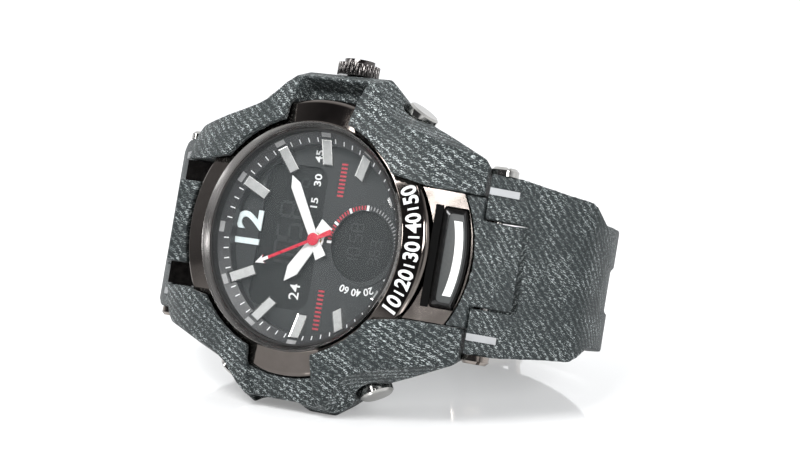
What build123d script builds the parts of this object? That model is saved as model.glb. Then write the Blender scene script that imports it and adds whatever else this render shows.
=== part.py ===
from build123d import *
import math
import os

# Driving sizes in millimetres. The watch's own axes are x to 3 o'clock, y to 12 o'clock
# and z out of the dial, with z zero at the hour squares of the minute track.
OVERRUN = 5.0
FIT_GAP = 0.02
RUNNING_GAP = 0.05
BODY_GAP = 0.15

# Case
CASE_RADIUS = 22.2
CASE_BORE_RADIUS = 17.4
CASE_TOP = -0.6
CASE_BOTTOM = -11.2
LUG_BLOCK_HALF_WIDTH = 10.1
LUG_BLOCK_REACH = 4.1
LUG_BLOCK_END = CASE_RADIUS + LUG_BLOCK_REACH
LUG_BLOCK_TOP = -1.6
LUG_EAR_INNER = 7.8
LUG_EAR_WIDTH = 2.2
LUG_EAR_RADIUS = 1.5
LUG_PIN_REACH = 2.0
LUG_PIN_Y = LUG_BLOCK_END + LUG_PIN_REACH
LUG_PIN_Z = -8.1
LUG_PIN_RADIUS = 0.9
LUG_HEAD_RADIUS = 2.2
LUG_HEAD_HEIGHT = 1.35
LUG_HEAD_CROWN = 0.45
LUG_SLOT_WIDTH = 0.5
LUG_SLOT_DEPTH = 0.5
LUG_SCREW_RADIUS = 0.6
LUG_SCREW_LENGTH = 4.0
CASE_GASKET_INNER = 17.8
CASE_GASKET_WIDTH = 0.8
CASE_GASKET_DEPTH = 0.6

# Case back
BACK_STEP = 0.4
BACK_RADIUS = CASE_RADIUS - BACK_STEP
BACK_FLANGE = 1.2
BACK_BOSS_RADIUS = 16.6
BACK_BOSS = 0.8
BACK_SCREW_INSET = 2.2
BACK_SCREW_CIRCLE = CASE_RADIUS - BACK_SCREW_INSET
BACK_SCREW_RADIUS = 0.7
BACK_SCREW_LENGTH = 4.0
BACK_HEAD_RADIUS = 1.3
BACK_HEAD_HEIGHT = 0.6
BACK_SCREW_SLOT = 0.4

# Bezel ring and crystal
LIP_INNER = 17.2
LIP_INNER_TOP = 2.1
LIP_OUTER = 18.05
LIP_OUTER_TOP = 3.3
FLANGE_INNER = 18.2
FLANGE_INNER_TOP = 2.5
FLANGE_STEP = 0.3
FLANGE_ROUND = 0.5
FLANGE_EDGE = CASE_RADIUS - FLANGE_STEP
FLANGE_OUTER = FLANGE_EDGE - FLANGE_ROUND
FLANGE_OUTER_TOP = 1.75
FLANGE_EDGE_TOP = 1.2
CRYSTAL_RADIUS = 16.9
CRYSTAL_BOTTOM = 0.4
CRYSTAL_TOP = 2.1
CRYSTAL_BEVEL = 0.3
CRYSTAL_GASKET_HEIGHT = 1.6

# Dial and its ring
DIAL_TOP = -2.3
DIAL_THICKNESS = 0.5
DIAL_HOLE_RADIUS = 1.35
CHAPTER_INNER = 15.2
CHAPTER_INNER_TOP = -0.75
CHAPTER_OUTER = 17.1
CHAPTER_OUTER_TOP = 0.35
MARKER_INNER = 11.9
MARKER_OUTER = 15.8
MARKER_BEVEL = 0.8
MARKER_LOW = 0.7
MARKER_HIGH = 2.0
MARKER_WIDTH = 1.8
SHORT_MARKER_INNER = 14.4
SHORT_MARKER_OUTER = 15.1
SHORT_MARKER_WIDTH = 1.6
SHORT_MARKER_HEIGHT = 0.9
SUBDIAL_Y = -8.5
SUBDIAL_WINDOW_RADIUS = 5.6
SUBDIAL_RING_RADIUS = 6.5
SUBDIAL_RING_HEIGHT = 0.12
LCD_HALF_WIDTH = 11.5
LCD_BOTTOM_Y = -0.3
LCD_TOP_Y = 11.0
LCD_CORNER = 2.4
LCD_MARGIN = 0.7
LCD_THICKNESS = 0.8
LCD_HOLE_RADIUS = 1.6

# Hands
HOUR_HAND_ANGLE = 302.5
HOUR_HAND_REACH = 8.5
HOUR_HAND_TAIL = 3.2
HOUR_HAND_WIDTH = 2.3
HOUR_HAND_LEVEL = -2.08
MINUTE_HAND_ANGLE = 58.2
MINUTE_HAND_REACH = 11.4
MINUTE_HAND_TAIL = 3.2
MINUTE_HAND_WIDTH = 1.8
MINUTE_HAND_LEVEL = -1.72
SECONDS_HAND_ANGLE = 333.7
SECONDS_HAND_REACH = 11.1
SECONDS_HAND_TAIL = 3.4
SECONDS_HAND_WIDTH = 0.5
SECONDS_TAIL_WIDTH = 0.9
SECONDS_HAND_LEVEL = -1.36
SECONDS_HUB_RADIUS = 1.0
SECONDS_HUB_HEIGHT = 0.35
ARROW_LENGTH = 1.5
ARROW_WIDTH = 1.5
HAND_THICKNESS = 0.22
HAND_HUB_WALL = 0.35
HAND_WAIST_SHARE = 0.8
HAND_TAIL_SHARE = 1.1

# Wheel train
SECONDS_ARBOR_RADIUS = 0.3
CANNON_RADIUS = 0.7
HOUR_PIPE_RADIUS = 1.15
TRAIN_CENTRE_DISTANCE = 4.8
CANNON_TEETH = 12
MINUTE_WHEEL_TEETH = 36
MINUTE_PINION_TEETH = 10
HOUR_WHEEL_TEETH = 40
DRIVE_WHEEL_TEETH = 30
DRIVE_WHEEL_RADIUS = 3.0
SECONDS_WHEEL_TEETH = 32
SECONDS_WHEEL_RADIUS = 3.2
WHEEL_THICKNESS = 0.45
PINION_HEIGHT = 0.85
HOUR_WHEEL_BOTTOM = -4.7
MINUTE_WHEEL_BOTTOM = -5.6
DRIVE_WHEEL_BOTTOM = -6.5
SECONDS_WHEEL_BOTTOM = -7.3
TRAIN_POST_RADIUS = 0.35
TOOTH_ROOT_SHARE = 2.1
TOOTH_TIP_SHARE = 1.5
TOOTH_FOOT_SHARE = 0.25
TOOTH_LAND_SHARE = 0.1

# Module
MODULE_RADIUS = 17.2
MODULE_BOTTOM = -7.7
GEAR_ROOF = -4.1
GEAR_ROOM_GAP = 0.5
BRIDGE_RADIUS = 16.4
BRIDGE_THICKNESS = 0.6
BOARD_RADIUS = 16.4
BOARD_THICKNESS = 0.6
MOTOR_X = 8.2
MOTOR_Y = -8.6
MOTOR_LENGTH = 6.4
MOTOR_WIDTH = 4.8
MOTOR_HEIGHT = 2.8
BATTERY_RADIUS = 8.0
BATTERY_HEIGHT = 1.6
BATTERY_X = 6.0
CLAMP_WIDTH = 4.0
CLAMP_THICKNESS = 0.25
CLAMP_FOOT = 2.0
BUZZER_RADIUS = 5.0
BUZZER_THICKNESS = 0.4
BUZZER_X = -9.5
SPACER_WALL = 0.7
BOARD_SCREW_CIRCLE = 14.6
BOARD_SCREW_RADIUS = 0.5
BOARD_HEAD_RADIUS = 0.9
BOARD_HEAD_HEIGHT = 0.4
BOARD_SCREW_LENGTH = 2.4

# Crown and stem
CROWN_Z = -6.4
CROWN_RADIUS = 3.37
CROWN_HEAD_REACH = 4.7
CROWN_HEAD_X = CASE_RADIUS + CROWN_HEAD_REACH
CROWN_HEAD_LENGTH = 2.0
CROWN_FACE_X = CROWN_HEAD_X + CROWN_HEAD_LENGTH
CROWN_CAP_RADIUS = 2.45
CROWN_CAP_LENGTH = 0.7
CROWN_CAP_X = CROWN_FACE_X + CROWN_CAP_LENGTH
CROWN_SHANK_RADIUS = 1.75
CROWN_SHANK_GAP = 0.8
CROWN_SHANK_START = CASE_RADIUS + CROWN_SHANK_GAP
CROWN_FLUTES = 28
CROWN_FLUTE_RADIUS = 0.22
CROWN_TUBE_RADIUS = 1.25
CROWN_TUBE_REACH = 3.0
CROWN_TUBE_END = CASE_RADIUS + CROWN_TUBE_REACH
CROWN_TUBE_START = 17.6
CROWN_PULL = 1.2
CROWN_GASKET_RADIUS = 0.98
CROWN_GASKET_LENGTH = 0.7
STEM_RADIUS = 0.55
STEM_START = 10.6
STEM_THREAD_DEPTH = 0.5
STEM_THREAD_END = CROWN_HEAD_X + STEM_THREAD_DEPTH
STEM_GROOVE_X = 12.0
STEM_GROOVE_WIDTH = 0.5
STEM_GROOVE_RADIUS = 0.35
COLLAR_RADIUS = 1.1

# Pushers
PUSHER_ANGLE = 31.0
PUSHER_Z = -6.0
PUSHER_SHAFT_RADIUS = 0.9
PUSHER_START = 16.3
PUSHER_CAP_RADIUS = 2.7
PUSHER_NECK = 2.7
PUSHER_CAP_START = CASE_RADIUS + PUSHER_NECK
PUSHER_CAP_LENGTH = 1.5
PUSHER_CAP_END = PUSHER_CAP_START + PUSHER_CAP_LENGTH
PUSHER_CAP_BEVEL = 0.35
PUSHER_STROKE = 1.0
PUSHER_TUBE_RADIUS = 1.5
PUSHER_TUBE_START = 18.2
PUSHER_TUBE_PROUD = 0.7
PUSHER_TUBE_END = CASE_RADIUS + PUSHER_TUBE_PROUD
PUSHER_POCKET_GAP = 0.6
PUSHER_CLIP_X = 16.6
PUSHER_CLIP_WIDTH = 0.35
PUSHER_CLIP_RADIUS = 1.35
PUSHER_CLIP_GROOVE = 0.2

# Guard halves
GUARD_SIDE = 4.6
GUARD_HALF_WIDTH = CASE_RADIUS + GUARD_SIDE
GUARD_END = 1.0
GUARD_HALF_LENGTH = LUG_BLOCK_END + GUARD_END
GUARD_TOP = 4.6
GUARD_WIDEST_Z = -4.4
GUARD_BOTTOM = -11.0
GUARD_TOP_SHARE = 0.9
GUARD_BOTTOM_SHARE = 0.925
GUARD_RIM_GAP = 0.95
GUARD_RIM_RADIUS = LIP_OUTER + GUARD_RIM_GAP
GUARD_RIM_Z = 4.3
GUARD_SLOPE_REACH = 3.0
GUARD_SLOPE_RADIUS = CASE_RADIUS + GUARD_SLOPE_REACH
GUARD_SLOPE_Z = 0.9
GUARD_CLAW_REACH = 9.4
GUARD_CLAW_RADIUS = CASE_RADIUS + GUARD_CLAW_REACH
GUARD_CLAW_Z = -5.4
GUARD_MOUTH_HALF_WIDTH = 11.5
GUARD_THROAT_HALF_WIDTH = 10.35
GUARD_MOUTH_Y = 14.0
GUARD_THROAT_Y = 20.5
GUARD_CUTOUT_HALF_WIDTH = 6.0
GUARD_UNDERCUT_Z = -7.45
GUARD_NOTCH_START_Y = -2.6
GUARD_NOTCH_END_Y = 7.4
GUARD_NOTCH_DEPTH = 1.1
GUARD_STEP_Y = 16.0
GUARD_STEP_DEPTH = 0.45
GUARD_STEP_X = 13.6
CROWN_POCKET_DEPTH = 1.5
CROWN_POCKET_X = CASE_RADIUS + CROWN_POCKET_DEPTH
CROWN_POCKET_Z = -3.2
CROWN_RIM_WIDTH = 1.7
CROWN_RIM_X = CROWN_POCKET_X + CROWN_RIM_WIDTH
CROWN_RIM_Z = -0.7
CROWN_SIDE_Z = -1.2
BRIDGE_EDGE_GAP = 0.3
BRIDGE_EDGE_X = CASE_RADIUS + BRIDGE_EDGE_GAP
BRIDGE_EDGE_Z = 0.9
BRIDGE_TREAD = 1.4
BRIDGE_BEND_X = BRIDGE_EDGE_X + BRIDGE_TREAD
BRIDGE_BEND_Z = 0.3
BRIDGE_SIDE_Z = -1.8
GUARD_OUTLINE_SHARES = [
    (0.0, 1.0),
    (0.57, 1.0),
    (0.6, 0.978),
    (0.708, 0.729),
    (0.765, 0.586),
    (0.81, 0.486),
    (0.848, 0.425),
    (0.955, 0.335),
    (1.0, 0.28),
]

# Side feet
FOOT_INSET = 1.6
FOOT_HALF_WIDTH = GUARD_HALF_WIDTH - FOOT_INSET
FOOT_TOP = -7.6
FOOT_SHOULDER = 0.5
FOOT_SHOULDER_X = FOOT_HALF_WIDTH - FOOT_SHOULDER
FOOT_EDGE_TOP = -8.2
FOOT_EDGE_BOTTOM = -9.5
FOOT_HEEL = 1.1
FOOT_HEEL_X = FOOT_HALF_WIDTH - FOOT_HEEL
FOOT_BOTTOM = -13.0
FOOT_END_GAP = 0.2
FOOT_START_Y = GUARD_NOTCH_START_Y + FOOT_END_GAP
FOOT_END_Y = GUARD_NOTCH_END_Y - FOOT_END_GAP

# Front panel and light button
PANEL_HALF_WIDTH = 10.15
PANEL_HEAD = 0.2
PANEL_TOP_Y = PANEL_HEAD - CASE_RADIUS
PANEL_TOP_Z = 0.05
PANEL_LIP = 0.8
PANEL_END_Y = -LUG_BLOCK_END - PANEL_LIP
PANEL_END_Z = -4.05
PANEL_CORNER_RISE = 2.1
PANEL_CORNER_Y = PANEL_END_Y + PANEL_CORNER_RISE
PANEL_THICKNESS = 1.6
BUTTON_HOLE_HALF_WIDTH = 7.9
BUTTON_HOLE_TOP = 2.3
BUTTON_HOLE_END = 3.0
BUTTON_HOLE_CORNER = 0.7
BUTTON_CURVE_RADIUS = 24.1
BUTTON_GAP = 0.12
BUTTON_BEVEL = 0.9
BUTTON_PROUD = 0.25
BUTTON_DEPTH = 1.5
BUTTON_STROKE = 0.8
BUTTON_STEM_RADIUS = 0.9
BUTTON_STEM_LENGTH = 3.4
BAR_HALF_WIDTH = 5.8
BAR_WIDTH = 1.25
BAR_HEIGHT = 0.15
BAR_END_GAP = 0.35

# End links
LINK_HALF_WIDTH = 6.6
LINK_SLIT = 0.35
BUMPER_OVERLAP = 0.1
BUMPER_INNER_Y = FLANGE_EDGE - BUMPER_OVERLAP
BUMPER_STEP = 1.3
BUMPER_OUTER_Y = LUG_BLOCK_END - BUMPER_STEP
BUMPER_TOP = 1.6
BUMPER_CORNER = 0.5
BUMPER_DROP = 3.1

# Strap loop
STRAP_START_SETBACK = 0.65
STRAP_START_Y = LUG_PIN_Y - STRAP_START_SETBACK
STRAP_START_Z = -4.55
STRAP_BEND_REACH = 3.2
STRAP_BEND_Y = LUG_PIN_Y + STRAP_BEND_REACH
STRAP_BEND_Z = -8.6
STRAP_ARM_REACH = 8.4
STRAP_ARM_Y = LUG_PIN_Y + STRAP_ARM_REACH
STRAP_ARM_Z = -15.0
STRAP_INNER_BEND_REACH = 1.7
STRAP_INNER_BEND_Y = LUG_PIN_Y + STRAP_INNER_BEND_REACH
STRAP_INNER_BEND_Z = -11.6
STRAP_INNER_ARM_REACH = 6.0
STRAP_INNER_ARM_Y = LUG_PIN_Y + STRAP_INNER_ARM_REACH
STRAP_INNER_ARM_Z = -17.1
STRAP_UNDERSIDE_Z = -10.9
LOOP_REACH = 11.2
LOOP_HALF_SPAN = LUG_PIN_Y + LOOP_REACH
LOOP_CENTRE_Z = -21.5
LOOP_DROP = 34.8
STRAP_THICKNESS = 3.2
STRAP_LAP_GAP = 0.4
LAP_START_ANGLE = -14.5
LAP_END_ANGLE = 3.5
TAIL_ANGLE = 62.0
STRAP_LUG_HALF_WIDTH = 14.0
STRAP_ARM_HALF_WIDTH = 13.0
STRAP_SHOULDER_HALF_WIDTH = 12.6
STRAP_SHOULDER_Z = -19.0
STRAP_NECK_Z = -24.0
STRAP_HALF_WIDTH = 9.8
LINK_END_REACH = 4.2
LINK_END_Y = LUG_PIN_Y + LINK_END_REACH
LINK_END_Z = -9.6
CHANNEL_HALF_WIDTH = 3.7
CHANNEL_DEPTH = 0.45
CHANNEL_START_ANGLE = -82.0
HOLE_WIDTH = 2.2
HOLE_LENGTH = 3.2
HOLE_PITCH_ANGLE = 8.5
HOLE_COUNT = 12
FIRST_HOLE_ANGLE = -55.0
INSERT_X = 11.35
INSERT_WIDTH = 1.1
INSERT_DEPTH = 0.5
INSERT_PROUD = 0.12
INSERT_SHARES = (0.06, 0.94)

# Buckle and keeper
BUCKLE_BAR_ANGLE = 3.5
BUCKLE_BAR_RADIUS = 0.9
BUCKLE_HALF_WIDTH = 11.7
BUCKLE_SIDE = 1.4
BUCKLE_FOOT_Z = -57.9
BUCKLE_FRONT_Y = -10.7
BUCKLE_BACK_Y = 4.1
BUCKLE_HEEL_Y = 1.5
BUCKLE_SIDE_TOP = -53.2
BUCKLE_FRONT_TOP = -55.7
BUCKLE_CROSS_RADIUS = 1.05
BUCKLE_CROSS_Y = -9.5
TONGUE_WIDTH = 2.0
TONGUE_THICKNESS = 1.2
TONGUE_TIP_Y = -11.0
TONGUE_EYE_RADIUS = 1.5
TONGUE_REST_GAP = 0.15
TONGUE_SLOT_GAP = 0.3
TONGUE_SLOT_WEDGE = 1.3
KEEPER_START_ANGLE = 29.0
KEEPER_END_ANGLE = 38.0
KEEPER_GAP = 0.35
KEEPER_WALL = 1.2


# The lean of the watch on the floor, set by the widest line of its guard and the foot of the buckle
LEAN = math.atan2(GUARD_HALF_WIDTH - BUCKLE_HALF_WIDTH, GUARD_WIDEST_Z - BUCKLE_FOOT_Z)


ON_BASE = (Align.CENTER, Align.CENTER, Align.MIN)
SCREW_ANGLES = (45, 135, 225, 315)
PUSHER_HOURS = (2, 4, 8, 10)
LONG_MARKER_HOURS = (1, 2, 3, 4, 8, 9, 10, 11)
SHORT_MARKER_HOURS = (5, 7)
LOOP_STEP_ANGLE = 6
HOLE_OVERRUN_ANGLE = 1


def block(x_range, y_range, z_range):
    """A box between three pairs of limits"""
    size = [limits[1] - limits[0] for limits in (x_range, y_range, z_range)]
    corner = (x_range[0], y_range[0], z_range[0])
    return Pos(*corner) * Box(*size, align=(Align.MIN, Align.MIN, Align.MIN))


def disc(radius, bottom, top, x=0, y=0):
    """A disc with its axis along the dial's"""
    return Pos(x, y, bottom) * Cylinder(radius, top - bottom, align=ON_BASE)


def ring(outer, inner, bottom, top, x=0, y=0):
    """A plain ring with its axis along the dial's"""
    return disc(outer, bottom, top, x, y) - disc(inner, bottom, top, x, y)


def turned(points):
    """A solid turned about the dial's axis from (radius, height) points"""
    profile = make_face(Polyline([(radius, 0, height) for radius, height in points], close=True))
    return revolve(profile, Axis.Z)


def prism_x(points, half_width):
    """A prism across the watch from (y, z) points"""
    outline = make_face(Polyline([(0, y, z) for y, z in points], close=True))
    return extrude(outline, half_width, dir=(1, 0, 0), both=True)


def prism_y(points, half_length):
    """A prism along 6 to 12 o'clock from (x, z) points"""
    outline = make_face(Polyline([(x, 0, z) for x, z in points], close=True))
    return extrude(outline, half_length, dir=(0, 1, 0), both=True)


def prism_z(points, bottom, top):
    """An upright prism from (x, y) points"""
    outline = make_face(Polyline([(x, y, bottom) for x, y in points], close=True))
    return extrude(outline, top - bottom, dir=(0, 0, 1))


def rod(start, direction, radius, length):
    """A round rod from a start point along a direction"""
    return Plane(origin=start, z_dir=direction) * Cylinder(radius, length, align=ON_BASE)


def cross_rod(y, z, radius, half_length):
    """A round rod across the watch, centred on its middle"""
    return rod((-half_length, y, z), (1, 0, 0), radius, half_length + half_length)


def joined(pieces):
    """One solid, or one set of solids, from a list of pieces"""
    total = pieces[0]
    for piece in pieces[1:]:
        total = total + piece
    return total


def turn_to(angle):
    """The turn that takes 12 o'clock to an angle counted clockwise"""
    return Rot(0, 0, -angle)


def mirrored_y(shape):
    return mirror(shape, about=Plane.XZ)


def gear(teeth, pitch_radius, bottom, top, phase=0):
    """A spur gear with plain tapered teeth"""
    size = pitch_radius / teeth
    root = pitch_radius - TOOTH_ROOT_SHARE * size
    tip = pitch_radius + TOOTH_TIP_SHARE * size
    step = 360 / teeth
    flank = [(root, TOOTH_FOOT_SHARE), (tip, TOOTH_LAND_SHARE)]
    corners = [(radius, -share) for radius, share in flank] + flank[::-1]
    points = []
    for tooth in range(teeth):
        for radius, share in corners:
            angle = math.radians(phase + (tooth + share) * step)
            points.append((radius * math.cos(angle), radius * math.sin(angle)))
    return prism_z(points, bottom, top)


# Case

def pusher_direction(hour):
    """The outward direction of the pusher at an hour"""
    angle = {2: PUSHER_ANGLE, 10: 180 - PUSHER_ANGLE, 8: 180 + PUSHER_ANGLE, 4: -PUSHER_ANGLE}[hour]
    return (math.cos(math.radians(angle)), math.sin(math.radians(angle)), 0)


def pusher_rod(hour, radius, start, end):
    """A rod along a pusher's axis, between two distances from the dial's axis"""
    direction = pusher_direction(hour)
    origin = (direction[0] * start, direction[1] * start, PUSHER_Z)
    return rod(origin, direction, radius, end - start)


def crown_rod(radius, start, end):
    """A rod along the crown's axis, between two distances from the dial's axis"""
    return rod((start, 0, CROWN_Z), (1, 0, 0), radius, end - start)


PANEL_SLOPE = math.atan2(PANEL_TOP_Z - PANEL_END_Z, PANEL_TOP_Y - PANEL_END_Y)
PANEL_CENTRE = (0, (PANEL_TOP_Y + PANEL_END_Y) / 2, (PANEL_TOP_Z + PANEL_END_Z) / 2)
PANEL_NORMAL = (0, -math.sin(PANEL_SLOPE), math.cos(PANEL_SLOPE))
PANEL_PLANE = Plane(origin=PANEL_CENTRE, x_dir=(1, 0, 0), z_dir=PANEL_NORMAL)
BUTTON_ROOM = BUTTON_DEPTH + BUTTON_STROKE + BUTTON_GAP


def panel_slab(top, bottom):
    """A slab along the front panel's slope, between two heights over its face"""
    length = 3 * (PANEL_TOP_Y - PANEL_END_Y)
    slab = Box(2 * PANEL_HALF_WIDTH, length, top - bottom, align=ON_BASE)
    return PANEL_PLANE * (Pos(0, 0, bottom) * slab)


def button_outline(inset):
    """The light button's hole drawn in by an inset, with its lower edge curved as the panel's is"""
    width = 2 * (BUTTON_HOLE_HALF_WIDTH - inset)
    top = BUTTON_HOLE_TOP - inset
    radius = BUTTON_CURVE_RADIUS - inset
    plate = Pos(0, top - width / 2) * RectangleRounded(width, width, BUTTON_HOLE_CORNER)
    return plate & Pos(0, BUTTON_CURVE_RADIUS - BUTTON_HOLE_END) * Circle(radius)


def lug(side):
    """The block and two ears that carry one strap end; side is 1 at 12 o'clock and -1 at 6"""
    width = (-LUG_BLOCK_HALF_WIDTH, LUG_BLOCK_HALF_WIDTH)
    body = block(width, (0, LUG_BLOCK_END), (CASE_BOTTOM, LUG_BLOCK_TOP))
    ear_y = (LUG_BLOCK_END - LUG_EAR_RADIUS, LUG_PIN_Y)
    ear_z = (LUG_PIN_Z - LUG_EAR_RADIUS, LUG_PIN_Z + LUG_EAR_RADIUS)
    for x in (LUG_EAR_INNER, -LUG_EAR_INNER - LUG_EAR_WIDTH):
        body += block((x, x + LUG_EAR_WIDTH), ear_y, ear_z)
        body += rod((x, LUG_PIN_Y, LUG_PIN_Z), (1, 0, 0), LUG_EAR_RADIUS, LUG_EAR_WIDTH)
    body -= cross_rod(LUG_PIN_Y, LUG_PIN_Z, LUG_PIN_RADIUS + FIT_GAP, STRAP_LUG_HALF_WIDTH)
    return body if side > 0 else mirrored_y(body)


def back_screw_places():
    return [(BACK_SCREW_CIRCLE, angle) for angle in SCREW_ANGLES]


def on_circle(radius, angle):
    """The point on a circle about the dial's axis"""
    return (radius * math.cos(math.radians(angle)), radius * math.sin(math.radians(angle)))


def make_case_body():
    barrel = disc(CASE_RADIUS, CASE_BOTTOM, CASE_TOP)
    body = barrel + lug(1) + lug(-1)
    body -= panel_slab(PANEL_THICKNESS + OVERRUN, -PANEL_THICKNESS) - barrel
    body -= PANEL_PLANE * extrude(button_outline(0), BUTTON_ROOM, dir=(0, 0, -1))
    body -= PANEL_PLANE * Cylinder(BUTTON_STEM_RADIUS + RUNNING_GAP, 2 * (BUTTON_STEM_LENGTH + BUTTON_ROOM))
    body -= disc(CASE_BORE_RADIUS, CASE_BOTTOM - OVERRUN, CASE_TOP + OVERRUN)
    gasket_outer = CASE_GASKET_INNER + CASE_GASKET_WIDTH
    body -= ring(gasket_outer, CASE_GASKET_INNER, CASE_BOTTOM, CASE_BOTTOM + CASE_GASKET_DEPTH)
    for radius, angle in back_screw_places():
        x, y = on_circle(radius, angle)
        body -= disc(BACK_SCREW_RADIUS, CASE_BOTTOM, CASE_BOTTOM + BACK_SCREW_LENGTH, x, y)
    for hour in PUSHER_HOURS:
        body -= pusher_rod(hour, PUSHER_TUBE_RADIUS, CASE_BORE_RADIUS - OVERRUN, CASE_RADIUS + OVERRUN)
    body -= rod((0, 0, CROWN_Z), (1, 0, 0), CROWN_TUBE_RADIUS, CASE_RADIUS + OVERRUN)
    return body


def make_case_back():
    top = CASE_BOTTOM
    bottom = top - BACK_FLANGE
    body = disc(BACK_RADIUS, bottom, top)
    body += disc(BACK_BOSS_RADIUS, bottom - BACK_BOSS, bottom)
    for radius, angle in back_screw_places():
        x, y = on_circle(radius, angle)
        body -= disc(BACK_SCREW_RADIUS, bottom, top, x, y)
        body -= disc(BACK_HEAD_RADIUS + RUNNING_GAP, bottom, bottom + BACK_HEAD_HEIGHT, x, y)
    return body


def make_case_back_screws():
    bottom = CASE_BOTTOM - BACK_FLANGE
    screws = []
    for radius, angle in back_screw_places():
        x, y = on_circle(radius, angle)
        screw = disc(BACK_HEAD_RADIUS, bottom, bottom + BACK_HEAD_HEIGHT, x, y)
        screw += disc(BACK_SCREW_RADIUS, bottom + BACK_HEAD_HEIGHT, CASE_BOTTOM + BACK_SCREW_LENGTH, x, y)
        slot = Box(2 * BACK_HEAD_RADIUS, BACK_SCREW_SLOT, BACK_SCREW_SLOT)
        screws.append(screw - Pos(x, y, bottom) * slot)
    return joined(screws)


def make_case_back_gasket():
    outer = CASE_GASKET_INNER + CASE_GASKET_WIDTH
    return ring(outer, CASE_GASKET_INNER, CASE_BOTTOM, CASE_BOTTOM + CASE_GASKET_DEPTH)


# Bezel, crystal and dial

def make_bezel_ring():
    return turned([
        (LIP_INNER, CASE_TOP),
        (LIP_INNER, LIP_INNER_TOP),
        (LIP_OUTER, LIP_OUTER_TOP),
        (FLANGE_INNER, FLANGE_INNER_TOP),
        (FLANGE_OUTER, FLANGE_OUTER_TOP),
        (FLANGE_EDGE, FLANGE_EDGE_TOP),
        (FLANGE_EDGE, CASE_TOP),
    ])


def make_crystal():
    return turned([
        (0, CRYSTAL_BOTTOM),
        (CRYSTAL_RADIUS, CRYSTAL_BOTTOM),
        (CRYSTAL_RADIUS, CRYSTAL_TOP - CRYSTAL_BEVEL),
        (CRYSTAL_RADIUS - CRYSTAL_BEVEL, CRYSTAL_TOP),
        (0, CRYSTAL_TOP),
    ])


def make_crystal_gasket():
    return ring(LIP_INNER, CRYSTAL_RADIUS, CRYSTAL_BOTTOM, CRYSTAL_BOTTOM + CRYSTAL_GASKET_HEIGHT)


def make_chapter_ring():
    body = turned([
        (CHAPTER_INNER, DIAL_TOP),
        (CHAPTER_INNER, CHAPTER_INNER_TOP),
        (CHAPTER_OUTER, CHAPTER_OUTER_TOP),
        (CHAPTER_OUTER, CRYSTAL_BOTTOM),
        (LIP_INNER - RUNNING_GAP, CRYSTAL_BOTTOM),
        (LIP_INNER - RUNNING_GAP, DIAL_TOP),
    ])
    half = MARKER_WIDTH / 2 + BODY_GAP
    slot = block((-half, half), (MARKER_INNER, MARKER_OUTER + BODY_GAP), (DIAL_TOP, CHAPTER_OUTER_TOP))
    for hour in LONG_MARKER_HOURS:
        body -= turn_to(30 * hour) * slot
    return body


def lcd_window(margin, bottom, top):
    """The rounded shape of the upper window, grown by a margin"""
    width = 2 * (LCD_HALF_WIDTH + margin)
    length = LCD_TOP_Y - LCD_BOTTOM_Y + 2 * margin
    shape = Pos(0, (LCD_TOP_Y + LCD_BOTTOM_Y) / 2, bottom) * RectangleRounded(width, length, LCD_CORNER)
    return extrude(shape, top - bottom)


def make_dial():
    bottom = DIAL_TOP - DIAL_THICKNESS
    body = disc(MODULE_RADIUS, bottom, DIAL_TOP)
    body -= lcd_window(0, bottom, DIAL_TOP) - disc(DIAL_HOLE_RADIUS + HAND_HUB_WALL, bottom, DIAL_TOP)
    body -= disc(SUBDIAL_WINDOW_RADIUS, bottom, DIAL_TOP, 0, SUBDIAL_Y)
    body -= disc(DIAL_HOLE_RADIUS, bottom, DIAL_TOP)
    return body


def make_hour_markers():
    markers = []
    long_profile = [
        (MARKER_INNER, DIAL_TOP),
        (MARKER_INNER, DIAL_TOP + MARKER_LOW / 2),
        (MARKER_INNER + MARKER_BEVEL, DIAL_TOP + MARKER_LOW),
        (MARKER_OUTER, DIAL_TOP + MARKER_HIGH),
        (MARKER_OUTER, DIAL_TOP),
    ]
    for hour in LONG_MARKER_HOURS:
        markers.append(turn_to(30 * hour) * prism_x(long_profile, MARKER_WIDTH / 2))
    short_top = DIAL_TOP + SHORT_MARKER_HEIGHT
    half = SHORT_MARKER_WIDTH / 2
    for hour in SHORT_MARKER_HOURS:
        short = block((-half, half), (SHORT_MARKER_INNER, SHORT_MARKER_OUTER), (DIAL_TOP, short_top))
        markers.append(turn_to(30 * hour) * short)
    return joined(markers)


def make_subdial_ring():
    top = DIAL_TOP + SUBDIAL_RING_HEIGHT
    return ring(SUBDIAL_RING_RADIUS, SUBDIAL_WINDOW_RADIUS, DIAL_TOP, top, 0, SUBDIAL_Y)


def make_lcd_panel():
    top = DIAL_TOP - DIAL_THICKNESS
    body = lcd_window(LCD_MARGIN, top - LCD_THICKNESS, top)
    body -= disc(LCD_HOLE_RADIUS, top - LCD_THICKNESS, top)
    return body - disc(SUBDIAL_WINDOW_RADIUS + LCD_MARGIN, top - LCD_THICKNESS, top, 0, SUBDIAL_Y)


def make_subdial_lcd():
    top = DIAL_TOP - DIAL_THICKNESS
    return disc(SUBDIAL_WINDOW_RADIUS + LCD_MARGIN - BODY_GAP, top - LCD_THICKNESS, top, 0, SUBDIAL_Y)


# Hands

def hand(blade, level, hub, angle):
    """A pencil-shaped hand, pointing at an angle counted clockwise from 12 o'clock"""
    reach, tail, width = blade
    half = width / 2
    outline = [
        (0, reach),
        (half, reach - width),
        (half * HAND_WAIST_SHARE, 0),
        (half * HAND_TAIL_SHARE, -tail),
        (-half * HAND_TAIL_SHARE, -tail),
        (-half * HAND_WAIST_SHARE, 0),
        (-half, reach - width),
    ]
    body = prism_z(outline, level, level + HAND_THICKNESS)
    body += disc(hub + HAND_HUB_WALL, level, level + HAND_THICKNESS)
    body -= disc(hub, level, level + HAND_THICKNESS)
    return turn_to(angle) * body


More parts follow.
